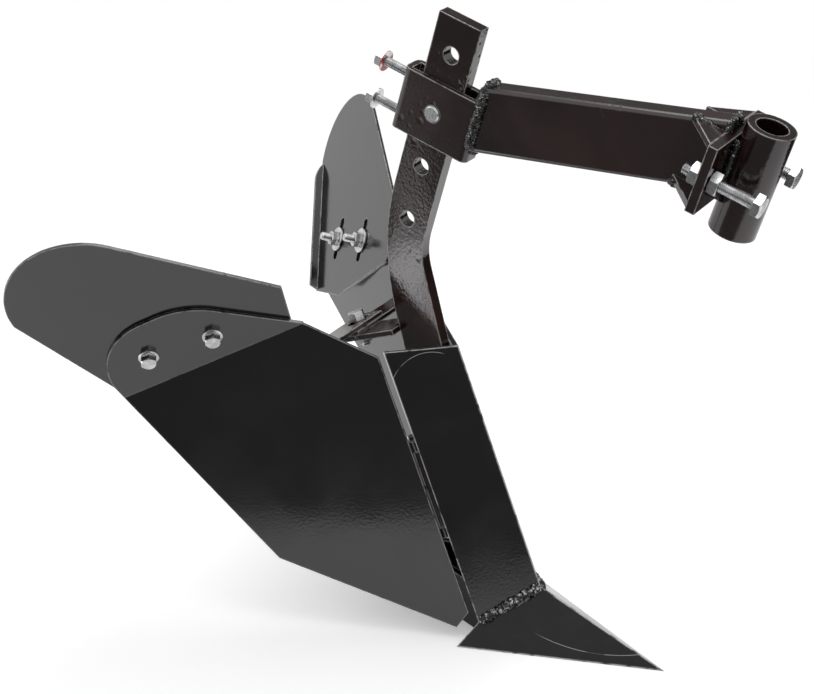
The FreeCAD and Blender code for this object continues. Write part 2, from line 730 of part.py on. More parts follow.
def build_adjusters():
    """The two full-thread levelling bolts, each with a nut on both faces of the cross plate."""
    side = "-adjuster_spread / 2"
    under_head = "hitch_reach + adjuster_stand_out"
    shank = rod(
        "levelling_shank",
        placed(rake, under_head, side, "adjuster_rise", POINT_BACK),
        "adjuster_diameter / 2",
        "adjuster_length",
    )
    head = hexagon_block(
        "levelling_head",
        placed(rake, under_head, side, "adjuster_rise", POINT_FORWARD),
        "adjuster_flats",
        "adjuster_head_height",
    )
    both_sides(fused("levelling_bolt", [shank, head]), "levelling_bolt")
    faces = (
        ("front", "hitch_reach + plate_gap", POINT_FORWARD),
        ("rear", "hitch_reach - hitch_plate_thickness - plate_gap", POINT_BACK),
    )
    for name, reach, turn in faces:
        nut = hexagon_block(
            f"levelling_nut_{name}",
            placed(rake, reach, side, "adjuster_rise", turn),
            "adjuster_flats",
            "adjuster_nut_height",
            bore="adjuster_diameter / 2 + screw_fit",
        )
        both_sides(nut, f"{name}_levelling_nut")


# ---------------------------------------------------------------- breast, share and heel

def build_breast():
    """The right breast plate, mitred on the ridge, and its twin."""
    body = new_body("breast_plate", breast_frame)
    outline = new_sketch(body, "breast_outline")
    draw_outline(outline, [
        ("0", "0"),
        ("breast_width", f"breast_width * ({seam_fall})"),
        ("breast_width", "breast_height + breast_top_rise"),
        ("0", "breast_height"),
    ])
    pad(body, outline, "breast_thickness")
    both_sides(cut("breast_miter", body, far_side("breast_far_side")), "breast_plate")


def far_side(name):
    """Everything to the left of the plane of symmetry."""
    reach = "2 * breast_height"
    return box(name, Placement(), f"2 * {reach}", reach, f"2 * {reach}", (f"-{reach}", "0", f"-{reach}"))


def build_share():
    """The right half of the V share: a bevelled plate with a flat sole, mitred on the ridge."""
    point = Vector(value("share_point"), 0, 0)
    corner = Vector(-value("share_rear"), -value("share_half_width"), 0)
    seam_end = ridge_foot + seam_direction * (value("breast_width") / seam_in_breast.x)
    normal = (corner - ridge_foot).cross(point - ridge_foot).normalize()
    inward = normal * (-value("share_thickness") if normal.z > 0 else value("share_thickness"))
    outline = Part.Face(Part.makePolygon([ridge_foot, point, corner, seam_end, ridge_foot]))
    plate = outline.extrude(inward)
    reach = value("4 * share_point")
    right_half = Part.makeBox(2 * reach, reach, reach, Vector(-reach, -reach, 0))
    share = document.addObject("Part::Feature", "share_plate")
    share.Shape = plate.common(right_half)
    share.Placement = Placement()
    both_sides(share, "share")
    return share


def build_heel(share):
    """The bent strap behind the share: two walls that meet in a round nose and stand on the ground."""
    run = value("heel_rear - heel_front")
    slope = math.degrees(math.atan2(value("heel_half_width - heel_nose_radius"), run))
    body = new_body("heel_strap")
    outer = new_sketch(body, "heel_outline")
    draw_heel(outer, "heel_half_width", "heel_nose_radius", slope)
    pad(body, outer, "heel_height")
    inner = new_sketch(body, "heel_inside")
    draw_heel(inner, "heel_half_width - heel_thickness", "heel_nose_radius - heel_thickness", slope)
    cut_through(body, inner)
    depth = "2 * share_point"
    ahead = box(
        "ahead_of_breast",
        breast_frame,
        "2 * breast_width",
        "2 * breast_height",
        depth,
        ("-breast_width / 2", "-breast_height", f"breast_thickness - {depth}"),
    )
    neighbours = fused("heel_neighbours", [
        share,
        document.getObjectsByLabel("left_share")[0],
        ahead,
        mirrored(ahead, "left_ahead_of_breast"),
    ])
    finish(cut("heel_fitted", body, neighbours), "heel")


def draw_heel(sketch, half_width, nose, slope):
    """One side of the strap: open ended trapezium with a round nose about a common centre."""
    centre = value("-heel_rear + heel_nose_radius")
    radius = value(nose)
    front = value("-heel_front")
    turn = math.radians(slope)
    half = value(half_width)
    tangent = Vector(centre - radius * math.sin(turn), radius * math.cos(turn), 0)
    twin = Vector(tangent.x, -tangent.y, 0)
    tail = Vector(centre - radius, 0, 0)
    corner, mirrored = Vector(front, half, 0), Vector(front, -half, 0)
    sketch.addGeometry(Part.LineSegment(corner, tangent), False)
    arc = Part.Arc(tangent, tail, twin)
    sketch.addGeometry(arc, False)
    sketch.addGeometry(Part.LineSegment(twin, mirrored), False)
    sketch.addGeometry(Part.LineSegment(mirrored, corner), False)
    fix(sketch, "DistanceX", 0, "-heel_front", 1)
    fix(sketch, "DistanceY", 0, half_width, 1)
    fix(sketch, "DistanceX", 3, "-heel_front", 1)
    fix(sketch, "DistanceY", 3, f"-({half_width})", 1)
    fix(sketch, "DistanceX", 1, "-heel_rear + heel_nose_radius", 3)
    fix(sketch, "DistanceY", 1, "0", 3)
    fix(sketch, "Radius", 1, nose)
    arc_start = 2 if sketch.Geometry[1].StartPoint.y < 0 else 1
    sketch.addConstraint(Sketcher.Constraint("Tangent", 0, 2, 1, arc_start))
    sketch.addConstraint(Sketcher.Constraint("Tangent", 1, 3 - arc_start, 2, 1))
    sketch.addConstraint(Sketcher.Constraint("Coincident", 2, 2, 3, 1))
    sketch.addConstraint(Sketcher.Constraint("Coincident", 3, 2, 0, 1))


# ---------------------------------------------------------------- wing hinges

# The hinge axis lies just far enough inside the wing for the barrel to clear the breast plate.
HINGE_INSET = (
    "((hinge_barrel_diameter / 2 + breast_thickness + plate_gap)"
    " / cos(breast_half_angle - wing_angle))"
)


# Where the hinge axis stands, seen along the ridge: out from the middle and behind the ridge line.
HINGE_OUT = f"((breast_width + hinge_gap) * sin(breast_half_angle) - {HINGE_INSET} * cos(wing_angle))"
HINGE_BEHIND = f"((breast_width + hinge_gap) * cos(breast_half_angle) + {HINGE_INSET} * sin(wing_angle))"
BOLT_BEHIND_HINGE = f"(spread_bolt_behind - {HINGE_BEHIND})"

# How far the spread bolt travels in each slot when a wing swings to its limit.
BRACKET_SLOT_REACH = (
    f"({HINGE_OUT} * tan(wing_swing) + {BOLT_BEHIND_HINGE} * (1 / cos(wing_swing) - 1))"
)
ARM_SLOT_REACH = (
    f"(({BOLT_BEHIND_HINGE} + {HINGE_OUT} * sin(wing_swing)) * tan(wing_swing)"
    f" - {HINGE_OUT} * (1 - cos(wing_swing)))"
)


def hinge_axis():
    """Frame on the hinge axis at the level of the wing's foot, Z up the ridge."""
    return wing_frame * Placement(Vector(0, 0, value(HINGE_INSET)), UP_THE_RIDGE)


def hinge_part(name, low, high, seat_run, seat_level, leaf_frame, bore=None):
    """A piece of the hinge on its axis, with a web down to the plate that it is welded to."""
    axis = hinge_axis()
    length = f"({high}) - ({low})"
    tube = rod(f"{name}_tube", placed(axis, "0", "0", low), "hinge_barrel_diameter / 2", length)
    start, run = seat_run
    web = box(f"{name}_web", leaf_frame, run, length, f"{HINGE_INSET} - {seat_level}", (start, low, seat_level))
    whole = fused(f"{name}_blank", [tube, web])
    if bore is None:
        return whole
    hole = rod(f"{name}_hole", placed(axis, "0", "0", f"{low} - 1"), bore, f"{length} + 2")
    return cut(name, whole, hole)


UP_THE_RIDGE = Rotation(Vector(1, 0, 0), -90)


def build_hinge():
    """Barrel on the wing, and the rod through it, welded into a knuckle on the breast at each end."""
    web = "hinge_barrel_diameter / 2"
    barrel = hinge_part(
        "hinge_barrel",
        "hinge_low",
        "hinge_high",
        ("wing_front_edge", web),
        "wing_thickness",
        wing_frame,
        "hinge_rod_diameter / 2 + hinge_fit",
    )
    both_sides(barrel, "hinge_barrel")
    breast_seat = Placement(wing_origin, breast_frame.Rotation)
    ends = (
        ("lower", "hinge_low - hinge_end_gap - hinge_knuckle_length", "hinge_low - hinge_end_gap"),
        ("upper", "hinge_high + hinge_end_gap", "hinge_high + hinge_end_gap + hinge_knuckle_length"),
    )
    knuckles = [
        hinge_part(
            f"{name}_knuckle",
            low,
            high,
            (f"-hinge_gap - {web}", f"{web} + hinge_gap / 2"),
            "breast_thickness",
            breast_seat,
        )
        for name, low, high in ends
    ]
    axis = hinge_axis()
    reach = "hinge_knuckle_length + hinge_end_gap + 1"
    pin = rod(
        "hinge_rod_body",
        placed(axis, "0", "0", f"hinge_low - {reach}"),
        "hinge_rod_diameter / 2",
        f"hinge_high - hinge_low + 2 * ({reach})",
    )
    both_sides(fused("hinge_rod", [pin, *knuckles]), "hinge_rod")


# ---------------------------------------------------------------- wing, extension and their bolts

def build_wing():
    """The mouldboard: a plate, its flange turned outwards at the fold, and the bend between them."""
    plate = new_body("wing_plate", wing_frame)
    outline = new_sketch(plate, "wing_outline")
    draw_outline(outline, [
        ("wing_front_edge", "wing_foot"),
        ("wing_cut_run", "-wing_cut_drop"),
        ("wing_tail_run", "wing_tail_height"),
        ("fold_rear_run", "fold_rear_height"),
        ("fold_front_run", "fold_front_height"),
        ("wing_front_edge", "wing_front_height"),
    ])
    pad(plate, outline, "wing_thickness")
    flange = new_body("wing_flange", flange_frame)
    edge = new_sketch(flange, "flange_outline")
    fold_length = "sqrt((fold_rear_run - fold_front_run)^2 + (fold_rear_height - fold_front_height)^2)"
    crown = [("0", "flange_height"), ("flange_crown_run", "flange_height")]
    draw_outline(edge, [("0", "0"), crown[0], crown[1], (fold_length, "0")])
    pad(flange, edge, "wing_thickness", back=True)
    round_edges(flange, crown[:1], "flange_rear_radius")
    round_edges(flange, crown[1:], "flange_crown_radius")
    holes = new_sketch(flange, "flange_holes")
    for end in ("rear", "front"):
        draw_circle(holes, f"wing_bolt_{end}_run", f"wing_bolt_{end}_height", "bolt_diameter / 2 + screw_fit")
    cut_through(flange, holes)
    bend = fold_filler("wing_bend", fold_length)
    both_sides(fused("wing", [plate, flange, bend]), "wing")


def fold_filler(name, length):
    """The sector of a round bar that joins the two plates round the inside of the plough's fold."""
    turn = Rotation(Vector(0, 1, 0), 90) * Rotation(Vector(0, 0, 1), -value("wing_fold"))
    sector = document.addObject("Part::Cylinder", name)
    sector.Placement = flange_frame * Placement(Vector(), turn)
    bind(sector, Radius="wing_thickness", Height=length, Angle="wing_fold")
    document.recompute()
    return sector


def build_extension():
    """The extension plate behind the flange, with its folded tab and two slots."""
    base = placed(flange_frame, "0", "0", "-wing_thickness - plate_gap")
    plate = new_body("extension_plate", base)
    outline = new_sketch(plate, "extension_outline")
    draw_extension(outline)
    pad(plate, outline, "extension_thickness", back=True)
    slots = new_sketch(plate, "extension_slots")
    for end in ("rear", "front"):
        bolt = (f"wing_bolt_{end}_run", f"wing_bolt_{end}_height")
        foot = polar(bolt, "90 - slot_lean", "-slot_below_bolt")
        head = polar(bolt, "90 - slot_lean", "slot_length - slot_below_bolt")
        draw_slot(slots, foot, head, "bolt_diameter / 2 + bolt_fit")
    cut_through(plate, slots)
    crease_run = value("crease_foot_run - crease_top_run")
    crease_drop = value("crease_top_height - crease_foot_height")
    crease_length = math.hypot(crease_run, crease_drop)
    down = Vector(crease_run / crease_length, -crease_drop / crease_length, 0)
    fold = math.radians(value("tab_fold"))
    outward = Vector(down.y, -down.x, 0) * math.cos(fold) + Vector(0, 0, -math.sin(fold))
    top = Vector(value("crease_top_run"), value("crease_top_height"), 0)
    tab = new_body("extension_tab", base * frame(top, down, outward))
    tab_outline = new_sketch(tab, "tab_outline")
    length = "sqrt((crease_foot_run - crease_top_run)^2 + (crease_top_height - crease_foot_height)^2)"
    top_corner = ("tab_slope", "tab_width")
    draw_outline(tab_outline, [("0", "0"), (length, "0"), (f"{length} - tab_chamfer", "tab_width"), top_corner])
    pad(tab, tab_outline, "extension_thickness")
    round_edges(tab, [top_corner], "tab_radius")
    both_sides(fused("extension", [plate, tab]), "extension")


def draw_extension(sketch):
    """The extension's outline: straight sides and a round end that runs into the top edge."""
    centre = Vector(value("extension_round_run"), value("extension_round_height"), 0)
    radius = value("extension_round_radius")
    front = Vector(value("extension_front_run"), value("extension_front_height"), 0)
    reach = front - centre
    start = math.atan2(reach.y, reach.x) + math.acos(radius / reach.Length)
    end = math.radians(value("extension_round_end"))
    circle = Part.Circle(centre, Vector(0, 0, 1), radius)
    sketch.addGeometry(Part.ArcOfCircle(circle, start, end), False)
    corners = [
        ("crease_top_run", "crease_top_height"),
        ("crease_foot_run", "crease_foot_height"),
        ("extension_base_run", "extension_base_height"),
        ("extension_chin_run", "extension_chin_height"),
        ("extension_front_run", "extension_front_height"),
    ]
    points = [centre + Vector(math.cos(end), math.sin(end), 0) * radius]
    points += [Vector(value(x), value(y), 0) for x, y in corners]
    points += [centre + Vector(math.cos(start), math.sin(start), 0) * radius]
    for first, last in zip(points, points[1:]):
        sketch.addGeometry(Part.LineSegment(first, last), False)
    fix(sketch, "DistanceX", 0, "extension_round_run", 3)
    fix(sketch, "DistanceY", 0, "extension_round_height", 3)
    fix(sketch, "Radius", 0, "extension_round_radius")
    fix(sketch, "DistanceY", 0, "extension_round_height + extension_round_radius * sin(extension_round_end)", 2)
    sketch.addConstraint(Sketcher.Constraint("Coincident", 0, 2, 1, 1))
    for index, (x, y) in enumerate(corners, start=1):
        sketch.addConstraint(Sketcher.Constraint("Coincident", index, 2, index + 1, 1))
        fix(sketch, "DistanceX", index, x, 2)
        fix(sketch, "DistanceY", index, y, 2)
    sketch.addConstraint(Sketcher.Constraint("Tangent", len(corners) + 1, 2, 0, 1))


def build_wing_bolts():
    """The two bolts through flange and extension, each with a large washer and a nut inside."""
    for end in ("rear", "front"):
        run, height = f"wing_bolt_{end}_run", f"wing_bolt_{end}_height"
        seat = placed(flange_frame, run, height, "0", FACE_IN)
        both_sides(hexagon_bolt(f"wing_bolt_{end}", seat, "wing_bolt_length"), f"{end}_wing_bolt")
        stack = "-wing_thickness - extension_thickness - 2 * plate_gap"
        nut = washered_nut(
            f"wing_nut_{end}",
            placed(flange_frame, run, height, stack, FACE_IN),
            "bolt_head_flats",
            "nut_height",
            "washer_diameter / 2",
            "washer_thickness",
            "bolt_diameter / 2 + screw_fit",
        )
        both_sides(nut, f"{end}_wing_nut")


# ---------------------------------------------------------------- spread bracket, arms and bolt

def build_bracket():
    """The slotted plate behind the shank that carries the spread bolt."""
    body = new_body("bracket_plate", placed(ridge, "0", "0", "bracket_level"))
    outline = new_sketch(body, "bracket_outline")
    turn = "(ridge_lean - shank_lean)"
    depth = "(shank_width + weld_gap)"
    rise = f"({SHANK_TOUCH} + {depth} * sin({turn}) - bracket_level)"
    front = f"{SHANK_SEAT} + {depth} * cos({turn}) + {rise} * tan({turn})"
    rear = "spread_bolt_behind + bracket_overhang"
    half = "bracket_width / 2"
    draw_outline(outline, [(front, f"-{half}"), (rear, f"-{half}"), (rear, half), (front, half)])
    pad(body, outline, "bracket_thickness")
    slot = new_sketch(body, "bracket_slot")
    draw_slot(
        slot,
        (f"spread_bolt_behind - {BRACKET_SLOT_REACH}", "0"),
        (f"spread_bolt_behind + {BRACKET_SLOT_REACH}", "0"),
        "bolt_diameter / 2 + arm_slot_fit",
    )
    cut_through(body, slot)
    finish(body, "spread_bracket")


def arm_level(layer):
    """Underside of one arm: the left arm lies on the bracket and the right arm on the left one."""
    return f"bracket_level + bracket_thickness + {layer + 1} * plate_gap + {layer} * arm_thickness"


def build_arm(name, side, layer):
    """The flat arm of one wing: square to the middle, slotted there, cut to the wing plate outside."""
    body = new_body(f"{name}_plate", placed(ridge, "0", "0", arm_level(layer)))
    outline = new_sketch(body, f"{name}_outline")
    half = "arm_width / 2"
    near, far = f"spread_bolt_behind - {half}", f"spread_bolt_behind + {half}"
    inner = f"{side} * -arm_overrun"
    draw_outline(outline, [
        (near, inner),
        (near, f"{side} * ({wing_offset(near)})"),
        (far, f"{side} * ({wing_offset(far)})"),
        (far, inner),
    ])
    pad(body, outline, "arm_thickness")
    slot = new_sketch(body, f"{name}_slot")
    ends = [("spread_bolt_behind", f"{end} * {ARM_SLOT_REACH}") for end in (-1, 1)]
    draw_slot(slot, *ends, "bolt_diameter / 2 + arm_slot_fit")
    cut_through(body, slot)
    finish(body, name)


def wing_offset(behind):
    """Distance from the middle to the wing plate's inner face, at a distance behind the ridge line."""
    origin_behind = "((breast_width + hinge_gap) * cos(breast_half_angle))"
    origin_side = "((breast_width + hinge_gap) * sin(breast_half_angle))"
    skin = "(wing_thickness + weld_gap) / cos(wing_angle)"
    return f"{origin_side} + (({behind}) - {origin_behind}) * tan(wing_angle) - {skin}"


def build_spread_bolt():
    """The bolt through both arms and the bracket, head up, and its nut under the bracket."""
    top = f"{arm_level(1)} + arm_thickness + plate_gap"
    seat = placed(ridge, "spread_bolt_behind", "0", top, FACE_IN)
    finish(hexagon_bolt("spread_bolt_blank", seat, "spread_bolt_length"), "spread_bolt")
    nut = hexagon_block(
        "spread_nut_blank",
        placed(ridge, "spread_bolt_behind", "0", "bracket_level - plate_gap", FACE_IN),
        "bolt_head_flats",
        "nut_height",
        bore="bolt_diameter / 2 + screw_fit",
    )
    finish(nut, "spread_nut")


# ---------------------------------------------------------------- assembly and export

def check_document():
    """Stop if any object failed or any sub-part is empty or unsound."""
    document.recompute()
    failed = [item.Name for item in document.Objects if {"Invalid", "Error"} & set(item.State)]
    if failed:
        raise ValueError(f"objects that failed: {failed}")
    for item in sub_parts:
        if item.Shape.isNull() or not item.Shape.isValid() or not item.Shape.Solids:
            raise ValueError(f"{item.Label} has no sound solid")


def export_on_ground():
    """Write each sub-part with the origin under the middle of the whole plough."""
    whole = FreeCAD.BoundBox()
    for item in sub_parts:
        whole.add(item.Shape.optimalBoundingBox(False))
    shift = Vector(-whole.Center.x, -whole.Center.y, -whole.ZMin)
    os.makedirs("parts", exist_ok=True)
    for item in sub_parts:
        shape = item.Shape.copy()
        shape.translate(shift)
        shape.exportStep(os.path.join("parts", f"{item.Label}.step"))
    print(f"{len(sub_parts)} sub-parts, {whole.XLength:.0f} x {whole.YLength:.0f} x {whole.ZLength:.0f} mm")
    print(f"origin moved by {shift}")


build_shank()
build_sleeve()
build_beam()
build_hitch()
build_breast()
build_heel(build_share())
build_hinge()
build_wing()
build_extension()
build_wing_bolts()
build_bracket()
build_arm("left_arm", -1, 0)
build_arm("right_arm", 1, 1)
build_spread_bolt()
check_document()
export_on_ground()
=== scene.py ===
"""Looks of the ridging plough: enamel, zinc, threads, welds, floor, light and camera."""

import json
import logging
import math
from collections.abc import Callable
from dataclasses import dataclass, field
from enum import Enum

import bmesh
import bpy
from mathutils import Matrix, Vector


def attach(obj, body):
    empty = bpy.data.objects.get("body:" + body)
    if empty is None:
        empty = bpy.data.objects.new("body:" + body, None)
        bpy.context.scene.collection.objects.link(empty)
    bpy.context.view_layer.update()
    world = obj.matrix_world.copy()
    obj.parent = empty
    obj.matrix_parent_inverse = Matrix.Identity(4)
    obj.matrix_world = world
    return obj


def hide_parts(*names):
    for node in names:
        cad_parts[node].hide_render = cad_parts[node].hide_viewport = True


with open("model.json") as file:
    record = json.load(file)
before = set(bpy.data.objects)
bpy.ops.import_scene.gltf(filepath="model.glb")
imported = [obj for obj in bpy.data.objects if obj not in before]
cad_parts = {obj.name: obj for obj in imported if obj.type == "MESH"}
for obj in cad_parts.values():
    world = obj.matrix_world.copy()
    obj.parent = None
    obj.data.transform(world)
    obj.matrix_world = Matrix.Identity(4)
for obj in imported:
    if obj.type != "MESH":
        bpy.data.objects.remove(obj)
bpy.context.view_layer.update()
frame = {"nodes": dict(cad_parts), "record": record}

logging.basicConfig(level=logging.INFO, format="%(message)s")
log = logging.getLogger("plough")

Triple = tuple[float, float, float]
Colour = tuple[float, float, float, float]
BMesh = bmesh.types.BMesh
Ring = list[bmesh.types.BMVert]
Material = bpy.types.Material
Mesh = bpy.types.Mesh
Node = bpy.types.Node
NodeTree = bpy.types.NodeTree
Object = bpy.types.Object
Socket = bpy.types.NodeSocket
Sockets = bpy.types.bpy_prop_collection
Given = float | Triple | Colour | Socket | Material
Takes = dict[str, tuple[str, Given | None]]

NUMBER = "NodeSocketFloat"
SAME_LEVEL = 0.0001
WHITE: Colour = (1.0, 1.0, 1.0, 1.0)


class Body(Enum):
    """The bodies that the finished pieces ride on."""

    FRAME = "frame"
    RIGHT_WING = "right_wing_body"
    LEFT_WING = "left_wing_body"
    SPREAD_BOLT = "spread_bolt_body"


class Slot(Enum):
    """The record's material slots."""

    ENAMEL = "black_enamel"
    ZINC = "zinc_plate"


class Side(Enum):
    """The plough's two halves, with the sign of Y on each."""

    RIGHT = -1
    LEFT = 1

    @property
    def word(self) -> str:
        """The side's name as the nodes write it."""
        return self.name.lower()

    @property
    def wing_body(self) -> Body:
        """The body that this side's mouldboard belongs to."""
        return Body.RIGHT_WING if self is Side.RIGHT else Body.LEFT_WING


# ---- writing node trees


@dataclass
class Tree:
    """A node tree that is written one node at a time."""

    nodes: NodeTree

    def add(self, kind: str, **settings: str | int | bool | NodeTree) -> Node:
        """Add a node and set its own properties.

        Args:
            kind: the node's type name.
            settings: properties of the node.

        Returns:
            The new node.
        """
        node = self.nodes.nodes.new(kind)
        for name, setting in settings.items():
            setattr(node, name, setting)
        return node

    def feed(self, node: Node, **values: Given) -> Node:
        """Set or link inputs, named with underscores for spaces, or by index as i0, i1.

        Args:
            node: the node whose inputs are fed.
            values: numbers, colours or output sockets.

        Returns:
            The same node.
        """
        for name, given in values.items():
            index = name[1:]
            is_index = name[0] == "i" and index.isdigit()
            socket = node.inputs[int(index)] if is_index else node.inputs[name.replace("_", " ")]
            if isinstance(given, Socket):
                self.nodes.links.new(given, socket)
            else:
                socket.default_value = given
        return node

    def math(self, operation: str, first: Given, second: Given = 0.0, clamp: bool = False) -> Socket:
        """A math node.

        Args:
            operation: the node's operation.
            first: first number or socket.
            second: second number or socket.
            clamp: whether the result is held between 0 and 1.

        Returns:
            The result's socket.
        """
        node = self.add("ShaderNodeMath", operation=operation, use_clamp=clamp)
        return self.feed(node, i0=first, i1=second).outputs[0]

    def times(self, first: Given, second: Given, clamp: bool = False) -> Socket:
        """The product of two numbers."""
        return self.math("MULTIPLY", first, second, clamp)

    def plus(self, first: Given, second: Given) -> Socket:
        """The sum of two numbers."""
        return self.math("ADD", first, second)

    def minus(self, first: Given, second: Given) -> Socket:
        """The first number less the second."""
        return self.math("SUBTRACT", first, second)

    def over(self, first: Given, second: Given) -> Socket:
        """The first number divided by the second."""
        return self.math("DIVIDE", first, second)

    def vector(self, operation: str, first: Given, second: Given = (0.0, 0.0, 0.0)) -> Sockets:
        """The outputs of a vector math node."""
        return self.feed(self.add("ShaderNodeVectorMath", operation=operation), i0=first, i1=second).outputs

    def split(self, whole: Given) -> Sockets:
        """A vector's X, Y and Z sockets."""
        return self.feed(self.add("ShaderNodeSeparateXYZ"), i0=whole).outputs

    def place(self) -> Socket:
        """The point being shaded, in the object's own space."""
        return self.add("ShaderNodeTexCoord").outputs["Object"]

    def bevel(self, radius: Given) -> Socket:
        """The normal as it would be with rounded edges."""
        return self.feed(self.add("ShaderNodeBevel", samples=6), Radius=radius).outputs[0]

    def noise(self, place: Given, scale: Given, detail: float, **more: Given) -> Socket:
        """Noise from 0 to 1.

        Args:
            place: the point where it is read.
            scale: how fine it is.
            detail: how many finer layers lie over it.
            more: further inputs of the node.

        Returns:
            The level's socket.
        """
        node = self.add("ShaderNodeTexNoise")
        return self.feed(node, Vector=place, Scale=scale, Detail=detail, **more).outputs["Fac"]

    def mix(self, mask: Given, low: Given, high: Given) -> Socket:
        """A colour between two by a mask.

        Args:
            mask: 0 for low, 1 for high.
            low: colour or socket.
            high: colour or socket.

        Returns:
            The colour's socket.
        """
        node = self.add("ShaderNodeMix", data_type="RGBA")
        return self.feed(node, i0=mask, i6=low, i7=high).outputs[2]

    def ramp(self, value: Given, low: Given, high: Given) -> Socket:
        """A smooth step from 0 at low to 1 at high.

        Args:
            value: the socket that is mapped.
            low: where the step begins.
            high: where the step ends.

        Returns:
            The mask's socket.
        """
        node = self.add("ShaderNodeMapRange", interpolation_type="SMOOTHSTEP")
        return self.feed(node, Value=value, From_Min=low, From_Max=high).outputs[0]


def new_tree(name: str, kind: str, takes: Takes, gives: dict[str, str]) -> tuple[Tree, Sockets, Node]:
    """A node group with named inputs and outputs.

    Args:
        name: the group's name.
        kind: the type of its tree.
        takes: input names with socket type and default.
        gives: output names with socket type.

    Returns:
        The group's tree, its inputs' sockets and its output node.
    """
    group = bpy.data.node_groups.new(name, kind)
    for label, (socket_type, default) in takes.items():
        socket = group.interface.new_socket(label, in_out="INPUT", socket_type=socket_type)
        if default is not None:
            socket.default_value = default
    for label, socket_type in gives.items():
        group.interface.new_socket(label, in_out="OUTPUT", socket_type=socket_type)
    tree = Tree(group)
    return tree, tree.add("NodeGroupInput").outputs, tree.add("NodeGroupOutput")


